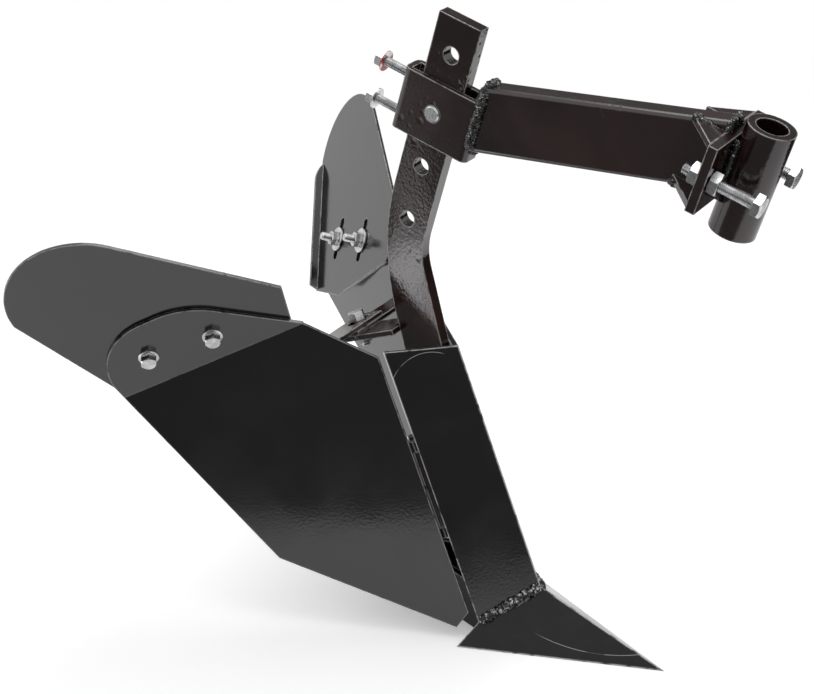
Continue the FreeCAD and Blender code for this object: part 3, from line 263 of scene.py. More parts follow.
class Effects:
    """The shared effects: rubbed edges that also carry painted highlights, lacquer skin, dust, scratches and
    blotches.

    Each pair holds the two levels between which an effect fades in.
    """

    EDGE_TURN = (0.012, 0.10)
    WORN_PATCHES = (0.34, 0.52)
    SAG_SCALE, SAG_WEIGHT = 26.0, 2.2
    DENT_SCALE, DENT_WEIGHT = 130.0, 9.0
    DENT_RIM = (0.0, 0.5)
    DENTED_SCALE = 17.0
    DENTED_PATCHES = (0.58, 0.66)
    SKIN_HEIGHT = 0.0004
    FACING_UP = (0.1, 0.95)
    DUST_CLOUDS = (0.4, 0.75)
    HAIRLINE = (0.00012, 0.00034)
    HAIRLINE_SCALE = 60.0
    HAIRLINE_GAPS = (0.36, 0.5)
    ARC_FOOT = (0.30, 0.45)
    ARC_HALF = (0.0, 0.12)
    BLOTCHES = (0.3, 0.7)

    def __init__(self) -> None:
        """Build each group once."""
        self.edge_wear = self._edge_wear()
        self.lacquer_skin = self._lacquer_skin()
        self.dust = self._dust()
        self.scratches = self._scratches()
        self.blotches = self._blotches()

    def _edge_wear(self) -> NodeTree:
        """Mask that is 1 on edges, broken up by noise: paint rubbed through to steel, its bare colour also
        painting in highlights on the edges.

        Returns:
            The node group.
        """
        takes = {"Radius": (NUMBER, 0.0010), "Breakup": (NUMBER, 90.0), "Amount": (NUMBER, 0.5)}
        tree, given, result = new_tree("edge_wear", "ShaderNodeTree", takes, {"Mask": NUMBER})
        flat = tree.add("ShaderNodeNewGeometry").outputs["True Normal"]
        facing = tree.vector("DOT_PRODUCT", tree.bevel(given["Radius"]), flat)["Value"]
        # Rubbed edges and painted highlight: the mask lays bare colour on edges, partly as wear and partly
        # standing in for light on the rounded edges.
        edge = tree.ramp(tree.minus(1.0, facing), *self.EDGE_TURN)
        noise = tree.noise(tree.place(), given["Breakup"], 5.0, Roughness=0.65)
        worn = tree.times(edge, tree.ramp(noise, *self.WORN_PATCHES))
        tree.feed(result, Mask=tree.times(worn, given["Amount"], clamp=True))
        return tree.nodes

    def _lacquer_skin(self) -> NodeTree:
        """Normal of sprayed lacquer: rounded edges, a fine orange peel and patches of dents.

        Returns:
            The node group.
        """
        takes = {
            "Edge": (NUMBER, 0.0013),
            "Peel": (NUMBER, 420.0),
            "Depth": (NUMBER, 0.12),
            "Pits": (NUMBER, 0.0),
        }
        gives = {"Normal": "NodeSocketVector"}
        tree, given, result = new_tree("lacquer_skin", "ShaderNodeTree", takes, gives)
        place = tree.place()
        sag = tree.noise(place, self.SAG_SCALE, 1.0)
        skin = tree.plus(tree.noise(place, given["Peel"], 2.0), tree.times(sag, self.SAG_WEIGHT))
        cells = tree.feed(tree.add("ShaderNodeTexVoronoi"), Vector=place, Scale=self.DENT_SCALE)
        dents = tree.minus(1.0, tree.ramp(cells.outputs["Distance"], *self.DENT_RIM))
        patches = tree.ramp(tree.noise(place, self.DENTED_SCALE, 2.0), *self.DENTED_PATCHES)
        hollow = tree.times(dents, tree.times(patches, given["Pits"]))
        height = tree.minus(skin, tree.times(hollow, self.DENT_WEIGHT))
        bump = tree.feed(tree.add("ShaderNodeBump"), Strength=given["Depth"], Distance=self.SKIN_HEIGHT)
        tree.feed(bump, Height=height, Normal=tree.bevel(given["Edge"]))
        tree.feed(result, Normal=bump.outputs[0])
        return tree.nodes

    def _dust(self) -> NodeTree:
        """Mask of settled dust on faces that look up.

        Returns:
            The node group.
        """
        takes = {"Scale": (NUMBER, 60.0), "Amount": (NUMBER, 0.2)}
        tree, given, result = new_tree("dust", "ShaderNodeTree", takes, {"Mask": NUMBER})
        level = tree.split(tree.add("ShaderNodeTexCoord").outputs["Normal"])["Z"]
        specks = tree.ramp(tree.noise(tree.place(), given["Scale"], 7.0), *self.DUST_CLOUDS)
        cloud = tree.times(specks, tree.ramp(level, *self.FACING_UP))
        tree.feed(result, Mask=tree.times(cloud, given["Amount"], clamp=True))
        return tree.nodes

    def _scratches(self) -> NodeTree:
        """Mask of one curved hairline scratch, broken in places.

        Returns:
            The node group.
        """
        takes = {
            "Centre": ("NodeSocketVector", (0.0, 0.0, 0.0)),
            "Reach": (NUMBER, 0.03),
            "Way": (NUMBER, 1.0),
            "Amount": (NUMBER, 0.0),
        }
        tree, given, result = new_tree("scratches", "ShaderNodeTree", takes, {"Mask": NUMBER})
        place = tree.place()
        arm = tree.vector("SUBTRACT", place, given["Centre"])[0]
        off = tree.minus(tree.vector("LENGTH", arm)["Value"], given["Reach"])
        line = tree.minus(1.0, tree.ramp(tree.math("ABSOLUTE", off), *self.HAIRLINE))
        parts = tree.split(arm)
        shares = {way: tree.over(tree.times(parts[way], given["Way"]), given["Reach"]) for way in "XZ"}
        half = tree.minus(1.0, tree.ramp(shares["X"], *self.ARC_HALF))
        gaps = tree.ramp(tree.noise(place, self.HAIRLINE_SCALE, 2.0), *self.HAIRLINE_GAPS)
        part = tree.times(tree.ramp(shares["Z"], *self.ARC_FOOT), tree.times(half, gaps))
        tree.feed(result, Mask=tree.times(tree.times(line, part), given["Amount"], clamp=True))
        return tree.nodes

    def _blotches(self) -> NodeTree:
        """Slow variation over a surface, for colour and roughness.

        Returns:
            The node group.
        """
        takes = {"Scale": (NUMBER, 12.0)}
        tree, given, result = new_tree("blotches", "ShaderNodeTree", takes, {"Fac": NUMBER})
        noise = tree.noise(tree.place(), given["Scale"], 4.0, Distortion=0.4)
        tree.feed(result, Fac=tree.ramp(noise, *self.BLOTCHES))
        return tree.nodes


# ---- finishes


@dataclass(frozen=True)
class Enamel:
    """Gloss black enamel over steel, thin in patches and rubbed through on its edges, the bare colour there
    also a painted highlight.
    """

    name: str
    colour: Colour = (0.0036, 0.0036, 0.0039, 1.0)
    thin: Colour = (0.0060, 0.0057, 0.0056, 1.0)
    bare: Colour = (0.46, 0.455, 0.45, 1.0)
    dusty: Colour = (0.16, 0.15, 0.14, 1.0)
    smooth: float = 0.10
    dull: float = 0.19
    dull_with_dust: float = 0.5
    peel: float = 0.12
    # Bare colour on the edges: partly wear, partly a painted highlight in place of light on them.
    wear: float = 0.85
    wear_width: float = 0.0018
    dust: float = 0.05
    pits: float = 0.0
    patchy: float = 0.0
    specular: float = 0.80
    scratched: float = 0.0
    scratch_centre: Triple = (0.0, 0.0, 0.0)
    scratch_reach: float = 0.03
    scratch_way: float = 1.0

    def material(self, effects: Effects) -> Material:
        """The finish as a material.

        Args:
            effects: the shared effects.

        Returns:
            The material.
        """
        made, tree, shader = new_material(self.name)
        shared = shared_nodes(tree, effects)
        variation = shared["blotches"].outputs["Fac"]
        patch = tree.plus(tree.times(variation, self.patchy), 1.0 - self.patchy)
        tree.feed(shared["skin"], Depth=tree.times(patch, self.peel), Pits=self.pits)
        tree.feed(shared["wear"], Amount=self.wear, Radius=self.wear_width)
        tree.feed(shared["dust"], Amount=self.dust)
        tree.feed(shared["scratches"], Amount=self.scratched, Centre=self.scratch_centre)
        tree.feed(shared["scratches"], Reach=self.scratch_reach, Way=self.scratch_way)
        dust, scratch, wear = (shared[name].outputs["Mask"] for name in ("dust", "scratches", "wear"))
        paint = tree.mix(variation, self.colour, self.thin)
        scored = tree.mix(scratch, tree.mix(dust, paint, self.dusty), self.bare)
        sheen = tree.plus(tree.times(variation, self.dull - self.smooth), self.smooth)
        rough = tree.plus(sheen, tree.times(dust, self.dull_with_dust))
        # Painted highlight and wear: bare colour on the edges.
        tree.feed(shader, Base_Color=tree.mix(wear, scored, self.bare), Roughness=rough)
        tree.feed(shader, Normal=shared["skin"].outputs["Normal"], Specular_IOR_Level=self.specular)
        return made


@dataclass(frozen=True)
class Zinc:
    """Bright zinc plating on a fastener, with an inspector's stroke of paint where it is marked."""

    name: str
    colour: Colour = (0.60, 0.605, 0.62, 1.0)
    stained: Colour = (0.27, 0.265, 0.255, 1.0)
    stain: float = 0.55
    stain_scale: float = 140.0
    smooth: float = 0.16
    dull: float = 0.34
    edge: float = 0.00012
    peel_scale: float = 900.0
    peel: float = 0.12
    marked: bool = False
    paint: Colour = (0.45, 0.012, 0.015, 1.0)
    stroke_below_top: float = 0.0072
    stroke_edge: tuple[float, float] = (0.00035, 0.0006)
    stroke_sway: float = 0.0012
    sway_scale: float = 120.0

    def material(self, effects: Effects) -> Material:
        """The finish as a material.

        Args:
            effects: the shared effects.

        Returns:
            The material.
        """
        made, tree, shader = new_material(self.name)
        shared = shared_nodes(tree, effects)
        tree.feed(shared["skin"], Edge=self.edge, Peel=self.peel_scale, Depth=self.peel)
        variation = tree.feed(shared["blotches"], Scale=self.stain_scale).outputs["Fac"]
        plating = tree.mix(tree.times(variation, self.stain), self.colour, self.stained)
        rough = tree.plus(tree.times(variation, self.dull - self.smooth), self.smooth)
        tree.feed(shader, Roughness=rough, Normal=shared["skin"].outputs["Normal"])
        if self.marked:
            stroke = self._stroke(tree)
            tree.feed(shader, Base_Color=tree.mix(stroke, plating, self.paint))
            tree.feed(shader, Metallic=tree.minus(1.0, stroke))
        else:
            tree.feed(shader, Base_Color=plating, Metallic=1.0)
        return made

    def _stroke(self, tree: Tree) -> Socket:
        """Mask of the paint stroke round the upper clamp bolt's flange.

        Args:
            tree: the material's tree.

        Returns:
            The mask's socket.
        """
        to_head = -Directions().rake_ahead
        middle = extent("upper_clamp_bolt", to_head)[1] - self.stroke_below_top
        place = tree.place()
        along = tree.vector("DOT_PRODUCT", place, tuple(to_head))["Value"]
        sway = tree.times(tree.noise(place, self.sway_scale, 1.0), self.stroke_sway)
        off = tree.math("ABSOLUTE", tree.minus(tree.plus(along, sway), middle))
        return tree.minus(1.0, tree.ramp(off, *self.stroke_edge))


@dataclass(frozen=True)
class WeldBead:
    """Rough weld under enamel, with painted glints: bright specks in its colour that stand in for light
    caught on its ripples.
    """

    name: str
    colour: Colour = (0.006, 0.006, 0.0065, 1.0)
    bright: Colour = (0.75, 0.75, 0.74, 1.0)
    # Painted glints: glint, rare and bright set the bright specks laid into the bead's colour in place of
    # highlights.
    glint: float = 0.9
    rare: float = 0.88
    grain: float = 520.0
    gloss: float = 0.12
    edge: float = 0.0003
    peel_scale: float = 1100.0
    peel: float = 0.6

    def material(self, effects: Effects) -> Material:
        """The finish as a material.

        Args:
            effects: the shared effects.

        Returns:
            The material.
        """
        made, tree, shader = new_material(self.name)
        shared = shared_nodes(tree, effects)
        tree.feed(shared["skin"], Edge=self.edge, Peel=self.peel_scale, Depth=self.peel)
        grains = tree.feed(shared["blotches"], Scale=self.grain).outputs["Fac"]
        # Painted highlight: bright specks in the colour stand in for glints of light.
        painted_glints = tree.times(tree.ramp(grains, self.rare, 1.0), self.glint)
        tree.feed(shader, Base_Color=tree.mix(painted_glints, self.colour, self.bright), Roughness=self.gloss)
        tree.feed(shader, Normal=shared["skin"].outputs["Normal"])
        return made


def new_material(name: str) -> tuple[Material, Tree, Node]:
    """An empty material with a Principled BSDF.

    Args:
        name: the material's name.

    Returns:
        The material, its tree and its shader node.
    """
    made = bpy.data.materials.new(name)
    made.use_nodes = True
    return made, Tree(made.node_tree), made.node_tree.nodes["Principled BSDF"]


def shared_nodes(tree: Tree, effects: Effects) -> dict[str, Node]:
    """One node of each shared effect in a material.

    Args:
        tree: the material's tree.
        effects: the shared effects.

    Returns:
        The nodes, by a short name.
    """
    groups = {
        "wear": effects.edge_wear,
        "skin": effects.lacquer_skin,
        "dust": effects.dust,
        "scratches": effects.scratches,
        "blotches": effects.blotches,
    }
    return {name: tree.add("ShaderNodeGroup", node_tree=group) for name, group in groups.items()}


class Finishes:
    """Every finish on the plough, as materials."""

    # Painted reflection: the brown tint of the bar and shank enamel stands in for brown surroundings mirrored
    # in the black gloss, stronger in patches.
    BROWN: Colour = (0.0090, 0.0042, 0.0034, 1.0)
    THIN_BROWN: Colour = (0.0210, 0.0088, 0.0068, 1.0)

    def __init__(self, effects: Effects) -> None:
        """Build each material once.

        Args:
            effects: the shared effects.
        """
        # Bars and shank take the painted brown reflection tint.
        brown_reflection = {"colour": self.BROWN, "thin": self.THIN_BROWN, "wear": 0.95}
        bar = Enamel("bar_enamel", **brown_reflection, peel=0.15, pits=0.6)
        rough = Enamel("shank_enamel", **brown_reflection, smooth=0.06, dull=0.14, peel=0.6, patchy=0.85, pits=0.4)
        breast = self._rubbed("breast_enamel", "right_breast_plate", (0.28, 0.845), 0.036, 1.0, 0.70)
        sole = self._rubbed("sole_enamel", "right_share", (0.43, 2.6), 0.155, -1.0, 0.30)
        self.plate = Enamel("plate_enamel").material(effects)
        self.breast = breast.material(effects)
        self.sole = sole.material(effects)
        self.bar = bar.material(effects)
        self.shank = rough.material(effects)
        self.zinc = Zinc("zinc_plating").material(effects)
        self.marked_zinc = Zinc("marked_zinc_plating", marked=True).material(effects)
        self.weld = WeldBead("enamelled_weld").material(effects)
        # The share beads: more painted glints, partly worn bright and partly painted highlight.
        self.bright_weld = WeldBead("worn_weld", rare=0.50, grain=330.0).material(effects)

    @staticmethod
    def _rubbed(
        name: str, node: str, place: tuple[float, float], reach: float, way: float, specular: float
    ) -> Enamel:
        """The enamel of a plate that rubs in the soil, with a curved scratch on one node.

        Args:
            name: the material's name.
            node: the node whose outer face is scratched.
            place: the scratch's centre, as shares of the node's length and height.
            reach: the scratch's radius.
            way: 1 for the upper rear part of the circle, -1 for the lower front one.
            specular: how strongly the enamel mirrors.

        Returns:
            The finish.
        """
        corners = [tuple(corner) for corner in corners_of(node)]
        spans = [(min(values), max(values)) for values in zip(*corners)]
        along, up = (low + (high - low) * share for (low, high), share in zip((spans[0], spans[2]), place))
        outward = min(broad_normals(node)[:2], key=lambda normal: normal.y)
        level = (extent(node, outward)[1] - along * outward.x - up * outward.z) / outward.y
        return Enamel(
            name,
            # Rubbed edges of the soil plates: bare colour, partly wear and partly painted highlight.
            wear=1.0,
            dust=0.03,
            peel=0.14,
            bare=(0.62, 0.615, 0.61, 1.0),
            wear_width=0.0020,
            specular=specular,
            scratched=0.6,
            scratch_centre=(along, level, up),
            scratch_reach=reach,
            scratch_way=way,
        )

    def for_node(self, node: str) -> Material:
        """The finish that a CAD node takes.

        Args:
            node: the node's name.

        Returns:
            The material.
        """
        if node == "upper_clamp_bolt":
            return self.marked_zinc
        by_word = (
            (("bolt", "nut", "pin"), self.zinc),
            (("share", "heel"), self.sole),
            (("breast",), self.breast),
            (("wing", "extension"), self.plate),
            (("shank",), self.shank),
        )
        return next((finish for words, finish in by_word if any(word in node for word in words)), self.bar)


# ---- measuring the frame


def corners_of(node: str) -> list[Vector]:
    """The vertices of a CAD node."""
    return [vertex.co.copy() for vertex in frame["nodes"][node].data.vertices]


def extent(node: str, direction: Vector) -> tuple[float, float]:
    """How far a CAD node reaches along a direction.

    Args:
        node: the node's name.
        direction: unit vector.

    Returns:
        Lowest and highest reach.
    """
    reaches = [corner.dot(direction) for corner in corners_of(node)]
    return min(reaches), max(reaches)


def joint_axis(name: str) -> Vector:
    """The axis of one of the record's joints."""
    joints = frame["record"]["behaviour"]["joints"]
    return Vector(next(joint["axis"] for joint in joints if joint["name"] == name)).normalized()


def farthest_corners(node: str, direction: Vector) -> list[Vector]:
    """The corners of a CAD node that reach farthest along a direction, each once.

    Args:
        node: the node's name.
        direction: unit vector.

    Returns:
        The corners.
    """
    top = extent(node, direction)[1]
    reaching = (corner for corner in corners_of(node) if top - corner.dot(direction) < SAME_LEVEL)
    return [Vector(parts) for parts in {tuple(round(part, 5) for part in corner) for corner in reaching}]


def broad_normals(node: str) -> list[Vector]:
    """The directions that a CAD node's faces look in, largest area first.

    Args:
        node: the node's name.

    Returns:
        Unit normals.
    """
    parallel = 0.9999
    normals: list[Vector] = []
    areas: list[float] = []
    for face in frame["nodes"][node].data.polygons:
        match = next((index for index, seen in enumerate(normals) if seen.dot(face.normal) > parallel), None)
        if match is None:
            normals.append(face.normal.copy())
            areas.append(face.area)
        else:
            areas[match] += face.area
    return [normals[index] for index in sorted(range(len(normals)), key=lambda index: -areas[index])]


class Directions:
    """The plough's own directions, read from its mount and joints."""

    def __init__(self) -> None:
        """Read them once."""
        self.across = Vector((0, 1, 0))
        self.rake_up = Vector(frame["record"]["mounts"][0]["axis"]).normalized()
        self.rake_ahead = self.across.cross(self.rake_up)
        self.ridge_up = joint_axis("right_wing_hinge")
        self.ridge_back = joint_axis("spread_bolt_slide")

    def plane_of_flange(self, side: Side) -> Vector:
        """The outward normal of one side's extension.

        Args:
            side: which half.

        Returns:
            Unit normal.
        """
        normal = broad_normals(f"{side.word}_extension")[0]
        return normal if normal.y * side.value > 0 else -normal


# ---- fasteners


@dataclass(frozen=True)
class Station:
    """A level of a turned piece and how wide it is there."""

    level: float
    radius: float


@dataclass(frozen=True)
class Turned:
    """A bolt or nut measured on its axis, from its tail to its head."""

    node: str
    axis: Vector
    foot: Vector
    corner: Vector
    stations: tuple[Station, ...]

    @classmethod
    def measure(cls, node: str, axis: Vector) -> "Turned":
        """Measure a CAD fastener.

        Args:
            node: the node's name.
            axis: unit vector along it, either way.

        Returns:
            The measured piece, its axis pointing from tail to head.
        """
        found = cls._along(node, axis)
        if found.stations[0].radius > found.stations[-1].radius:
            found = cls._along(node, -axis)
        return found

    @classmethod
    def _along(cls, node: str, axis: Vector) -> "Turned":
        """Measure with the axis this way round.

        Args:
            node: the node's name.
            axis: unit vector from tail to head.

        Returns:
            The measured piece.
        """
        corners = corners_of(node)
        right = axis.orthogonal().normalized()
        foot = axis * min(corner.dot(axis) for corner in corners)
        for direction in (right, axis.cross(right)):
            reaches = [corner.dot(direction) for corner in corners]
            foot += direction * (min(reaches) + max(reaches)) / 2
        outs = [(corner - foot, (corner - foot).dot(axis)) for corner in corners]
        outs.sort(key=lambda pair: pair[1])
        stations: list[Station] = []
        for arm, level in outs:
            radius = (arm - axis * level).length
            if stations and level - stations[-1].level < SAME_LEVEL:
                stations[-1] = Station(stations[-1].level, max(stations[-1].radius, radius))
            else:
                stations.append(Station(level, radius))
        top = stations[-1].level
        rim = [arm - axis * level for arm, level in outs if top - level < SAME_LEVEL]
        corner = max(rim, key=lambda arm: arm.length).normalized()
        return cls(node, axis.copy(), foot, corner, tuple(stations))

    @property
    def matrix(self) -> Matrix:
        """The piece's own frame: Z along the axis from the tail, X towards a corner of the hexagon.

        Returns:
            The matrix from that frame to the plough's.
        """
        side = self.axis.cross(self.corner)
        turn = Matrix((self.corner, side, self.axis)).transposed()
        return Matrix.Translation(self.foot) @ turn.to_4x4()


# ---- geometry node trees


def new_geometry_tree(name: str, takes: Takes) -> tuple[Tree, Sockets, Node]:
    """A Geometry Nodes tree that takes a mesh and gives one back."""
    mesh = "NodeSocketGeometry"
    return new_tree(name, "GeometryNodeTree", {"Geometry": (mesh, None), **takes}, {"Geometry": mesh})


def put_in_scene(name: str, data: bpy.types.ID) -> Object:
    """Make an object and link it to the scene.

    Args:
        name: the object's name.
        data: its mesh, lamp or camera.

    Returns:
        The object.
    """
    made = bpy.data.objects.new(name, data)
    bpy.context.scene.collection.objects.link(made)
    return made


def grow(name: str, start: Mesh, group: NodeTree, **inputs: Given) -> Mesh:
    """Run a Geometry Nodes tree on a mesh and keep the plain result.

    Args:
        name: the result's name.
        start: the mesh the tree is given.
        group: the tree.
        inputs: values of its named inputs, underscores for spaces.

    Returns:
        The finished mesh.
    """
    holder = put_in_scene(f"{name}_grower", start)
    modifier = holder.modifiers.new("grow", "NODES")
    modifier.node_group = group
    sockets = {item.name: item.identifier for item in group.interface.items_tree if item.in_out == "INPUT"}
    for label, given in inputs.items():
        modifier[sockets[label.replace("_", " ")]] = given
    evaluated = holder.evaluated_get(bpy.context.evaluated_depsgraph_get())
    result = bpy.data.meshes.new_from_object(evaluated)
    result.name = name
    holder.modifiers.remove(modifier)
    bpy.data.objects.remove(holder)
    return result


class Growers:
    """The Geometry Nodes trees: screw thread and weld bead."""

    AROUND = 28
    RINGS_PER_TURN = 8
    MERGED = 0.000004
    STEPS_PER_RIPPLE = 5.0
    BEAD_AROUND = 12
    RIPPLE_LOW, RIPPLE_RISE = 0.80, 0.26
    LUMP_SCALE = 240.0

    def __init__(self) -> None:
        """Build each tree once."""
        self.thread = self._thread()
        self.bead = self._bead()

    def _thread(self) -> NodeTree:
        """A screw thread along Z with tapered, closed ends.

        Returns:
            The tree.
        """
        takes = {
            "Radius": (NUMBER, 0.004),
            "Length": (NUMBER, 0.02),
            "Pitch": (NUMBER, 0.00125),
            "Depth": (NUMBER, 0.0006),
            "Rings": ("NodeSocketInt", 64),
            "Material": ("NodeSocketMaterial", None),
        }
        tree, given, result = new_geometry_tree("screw_thread", takes)
        radius, length, pitch, depth = (given[name] for name in ("Radius", "Length", "Pitch", "Depth"))
        grid = tree.add("GeometryNodeMeshGrid")
        tree.feed(grid, Size_X=1.0, Size_Y=1.0, Vertices_X=self.AROUND + 1, Vertices_Y=given["Rings"])
        spot = tree.split(tree.add("GeometryNodeInputPosition").outputs[0])
        turn = tree.plus(spot["X"], 0.5)
        level = tree.times(tree.plus(spot["Y"], 0.5), length)
        phase = tree.math("FRACT", tree.minus(tree.over(level, pitch), turn))
        flank = tree.math("ABSOLUTE", tree.minus(tree.times(phase, 2.0), 1.0))
        root = tree.minus(radius, depth)
        ridge = tree.plus(root, tree.times(flank, depth))
        from_tail = tree.plus(root, level)
        from_head = tree.plus(root, tree.minus(length, level))
        reach = tree.math("MINIMUM", ridge, tree.math("MINIMUM", from_tail, from_head))
        angle = tree.times(turn, math.tau)
        place = tree.add("ShaderNodeCombineXYZ")
        tree.feed(
            place,
            X=tree.times(reach, tree.math("COSINE", angle)),
            Y=tree.times(reach, tree.math("SINE", angle)),
            Z=level,
        )
        wound = tree.add("GeometryNodeSetPosition")
        tree.feed(wound, Geometry=grid.outputs[0], Position=place.outputs[0])
        join = tree.add("GeometryNodeJoinGeometry")
        for lift in (0.0, length):
            disc = tree.add("GeometryNodeMeshCircle", fill_type="NGON")
            tree.feed(disc, Vertices=self.AROUND, Radius=root)
            offset = tree.add("ShaderNodeCombineXYZ")
            tree.feed(offset, Z=lift)
            moved = tree.add("GeometryNodeTransform")
            tree.feed(moved, Geometry=disc.outputs[0], Translation=offset.outputs[0])
            tree.feed(join, i0=moved.outputs[0])
        tree.feed(join, i0=wound.outputs[0])
        merged = tree.add("GeometryNodeMergeByDistance")
        tree.feed(merged, Geometry=join.outputs[0], Distance=self.MERGED)
        self._finish(tree, merged, given, result)
        return tree.nodes

    def _bead(self) -> NodeTree:
        """A weld bead with ripples along the edges that it is given.

        Returns:
            The tree.
        """
        takes = {
            "Radius": (NUMBER, 0.0025),
            "Ripple": (NUMBER, 0.0016),
            "Lumps": (NUMBER, 0.0007),
            "Seed": (NUMBER, 3.0),
            "Material": ("NodeSocketMaterial", None),
        }
        tree, given, result = new_geometry_tree("weld_bead", takes)
        ripple = given["Ripple"]
        path = tree.feed(tree.add("GeometryNodeMeshToCurve"), Mesh=given["Geometry"])
        fine = tree.add("GeometryNodeResampleCurve", mode="LENGTH")
        tree.feed(fine, Curve=path.outputs[0], Length=tree.over(ripple, self.STEPS_PER_RIPPLE))
        along = tree.add("GeometryNodeSplineParameter").outputs["Length"]
        saw = tree.math("FRACT", tree.over(along, ripple))
        swell = tree.plus(tree.times(tree.math("SQRT", saw), self.RIPPLE_RISE), self.RIPPLE_LOW)
        round_bar = tree.add("GeometryNodeCurvePrimitiveCircle")
        tree.feed(round_bar, Resolution=self.BEAD_AROUND, Radius=given["Radius"])
        swept = tree.add("GeometryNodeCurveToMesh")
        tree.feed(swept, Curve=fine.outputs[0], Profile_Curve=round_bar.outputs[0])
        tree.feed(swept, Scale=swell, Fill_Caps=True)
        lumps = tree.add("ShaderNodeTexNoise", noise_dimensions="4D")
        position = tree.add("GeometryNodeInputPosition").outputs[0]
        tree.feed(lumps, Vector=position, W=given["Seed"], Scale=self.LUMP_SCALE, Detail=2.0)
        away = tree.times(tree.minus(lumps.outputs[0], 0.5), given["Lumps"])
        push = tree.add("ShaderNodeVectorMath", operation="SCALE")
        tree.feed(push, i0=tree.add("GeometryNodeInputNormal").outputs[0])
        tree.feed(push, Scale=tree.times(away, 2.0))
        rough = tree.add("GeometryNodeSetPosition")
        tree.feed(rough, Geometry=swept.outputs[0], Offset=push.outputs[0])
        self._finish(tree, rough, given, result)
        return tree.nodes

    @staticmethod
    def _finish(tree: Tree, last: Node, given: Sockets, result: Node) -> None:
        """End a tree: shade it smooth, realize its instances and set the material.

        Args:
            tree: the tree.
            last: the node whose geometry is finished.
            given: the tree's inputs.
            result: the tree's output node.
        """
        smooth = tree.feed(tree.add("GeometryNodeSetShadeSmooth"), i0=last.outputs[0])
        real = tree.feed(tree.add("GeometryNodeRealizeInstances"), i0=smooth.outputs[0])
        dressed = tree.add("GeometryNodeSetMaterial")
        tree.feed(dressed, i0=real.outputs[0], Material=given["Material"])
        tree.feed(result, i0=dressed.outputs[0])


# ---- finished pieces


def add_piece(name: str, mesh: Mesh, body: Body, replaces: tuple[str, ...] = ()) -> Object:
    """Put a finished mesh in the scene as a piece of the plough.

    Args:
        name: the piece's name.
        mesh: its mesh, in place.
        body: the body it rides on.
        replaces: CAD nodes that it stands for.

    Returns:
        The piece.
    """
    piece = put_in_scene(name, mesh)
    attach(piece, body.value)
    if replaces:
        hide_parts(*replaces)
    log.info("%s: %d faces", name, len(mesh.polygons))
    return piece


SHARP_TURN = math.radians(28)
TURNED_STEPS = 56
HEXAGON_STEPS = 72
CHAMFER_SLOPE = math.tan(math.radians(30))
FLAT_SHARE = math.cos(math.radians(30))
LAND_SHARE = 0.95
CORE_SHARE = 0.35


def smooth_but_sharp(work: BMesh) -> None:
    """Shade smooth, with edges kept sharp where faces turn by more than SHARP_TURN.

    Args:
        work: the mesh being made.
    """
    bmesh.ops.recalc_face_normals(work, faces=work.faces)
    for face in work.faces:
        face.smooth = True
    for edge in work.edges:
        edge.smooth = edge.calc_face_angle(0.0) < SHARP_TURN


def add_ring(
    work: BMesh, steps: int, reach: Callable[[float], float], level: Callable[[float], float]
) -> Ring:
    """A ring of vertices about Z.

    Args:
        work: the mesh that it is added to.
        steps: how many vertices.
        reach: the radius at an angle.
        level: the level at a radius.

    Returns:
        The vertices, in order.
    """
    ring = []
    for step in range(steps):
        angle = math.tau * step / steps
        out = reach(angle)
        ring.append(work.verts.new((out * math.cos(angle), out * math.sin(angle), level(out))))
    return ring


def join_rings(work: BMesh, rings: list[Ring], closed: bool) -> None:
    """Lay faces between rings of vertices. A ring of one vertex is a tip.

    Args:
        work: the mesh that they are added to.
        rings: the rings, in order.
        closed: whether the last is joined to the first, as round a bore.
    """
    steps = max(len(ring) for ring in rings)
    pairs = list(zip(rings, rings[1:]))
    if closed:
        pairs.append((rings[-1], rings[0]))
    for low, high in pairs:
        for step in range(steps):
            ends = (step, (step + 1) % steps)
            quad = [low[end % len(low)] for end in ends] + [high[end % len(high)] for end in reversed(ends)]
            work.faces.new(list(dict.fromkeys(quad)))


def revolve(work: BMesh, profile: list[tuple[float, float]], closed: bool = False) -> None:
    """Revolve a profile about Z.

    Args:
        work: the mesh that it is added to.
        profile: pairs of radius and level, a radius of 0 closing an end.
        closed: whether the profile's ends meet, as round a bore.
    """
    rings = []
    for radius, level in profile:
        if radius == 0.0:
            rings.append([work.verts.new((0, 0, level))])
        else:
            rings.append(add_ring(work, TURNED_STEPS, lambda _: radius, lambda _: level))
    join_rings(work, rings, closed)


def hexagon(work: BMesh, low: float, high: float, corner: float, both: bool, bore: float = 0.0) -> None:
    """A hexagonal head or nut along Z with the usual turned chamfer.

    Args:
        work: the mesh that it is added to.
        low: its lower level.
        high: its upper level.
        corner: its radius over the corners.
        both: whether the lower end is chamfered too.
        bore: radius of its bore, or 0 for none.
    """
    flat = corner * FLAT_SHARE
    land = flat * LAND_SHARE
    start = bore if bore else flat * CORE_SHARE

    def edge(angle: float) -> float:
        """The hexagon's radius at an angle."""
        return flat / math.cos((angle % math.radians(60)) - math.radians(30))

    def bevel(reach: float) -> float:
        """How deep the chamfer has cut at a radius."""
        return max(0.0, reach - land) * CHAMFER_SLOPE

    outline = (
        (lambda _: start, lambda _: low),
        (lambda _: land, lambda _: low),
        (edge, lambda reach: low + (bevel(reach) if both else 0.0)),
        (edge, lambda reach: high - bevel(reach)),
        (lambda _: land, lambda _: high),
        (lambda _: start, lambda _: high),
    )
    rings = [add_ring(work, HEXAGON_STEPS, reach, level) for reach, level in outline]
    join_rings(work, rings, closed=bore > 0.0)
    if not bore:
        work.faces.new(rings[0])
        work.faces.new(rings[-1])


class Kind(Enum):
    """The kinds of fastener on the plough."""

    PLAIN_BOLT = "plain_bolt"
    FLANGE_BOLT = "flange_bolt"
    NUT = "nut"
    WASHERED_NUT = "washered_nut"
    PIN = "pin"


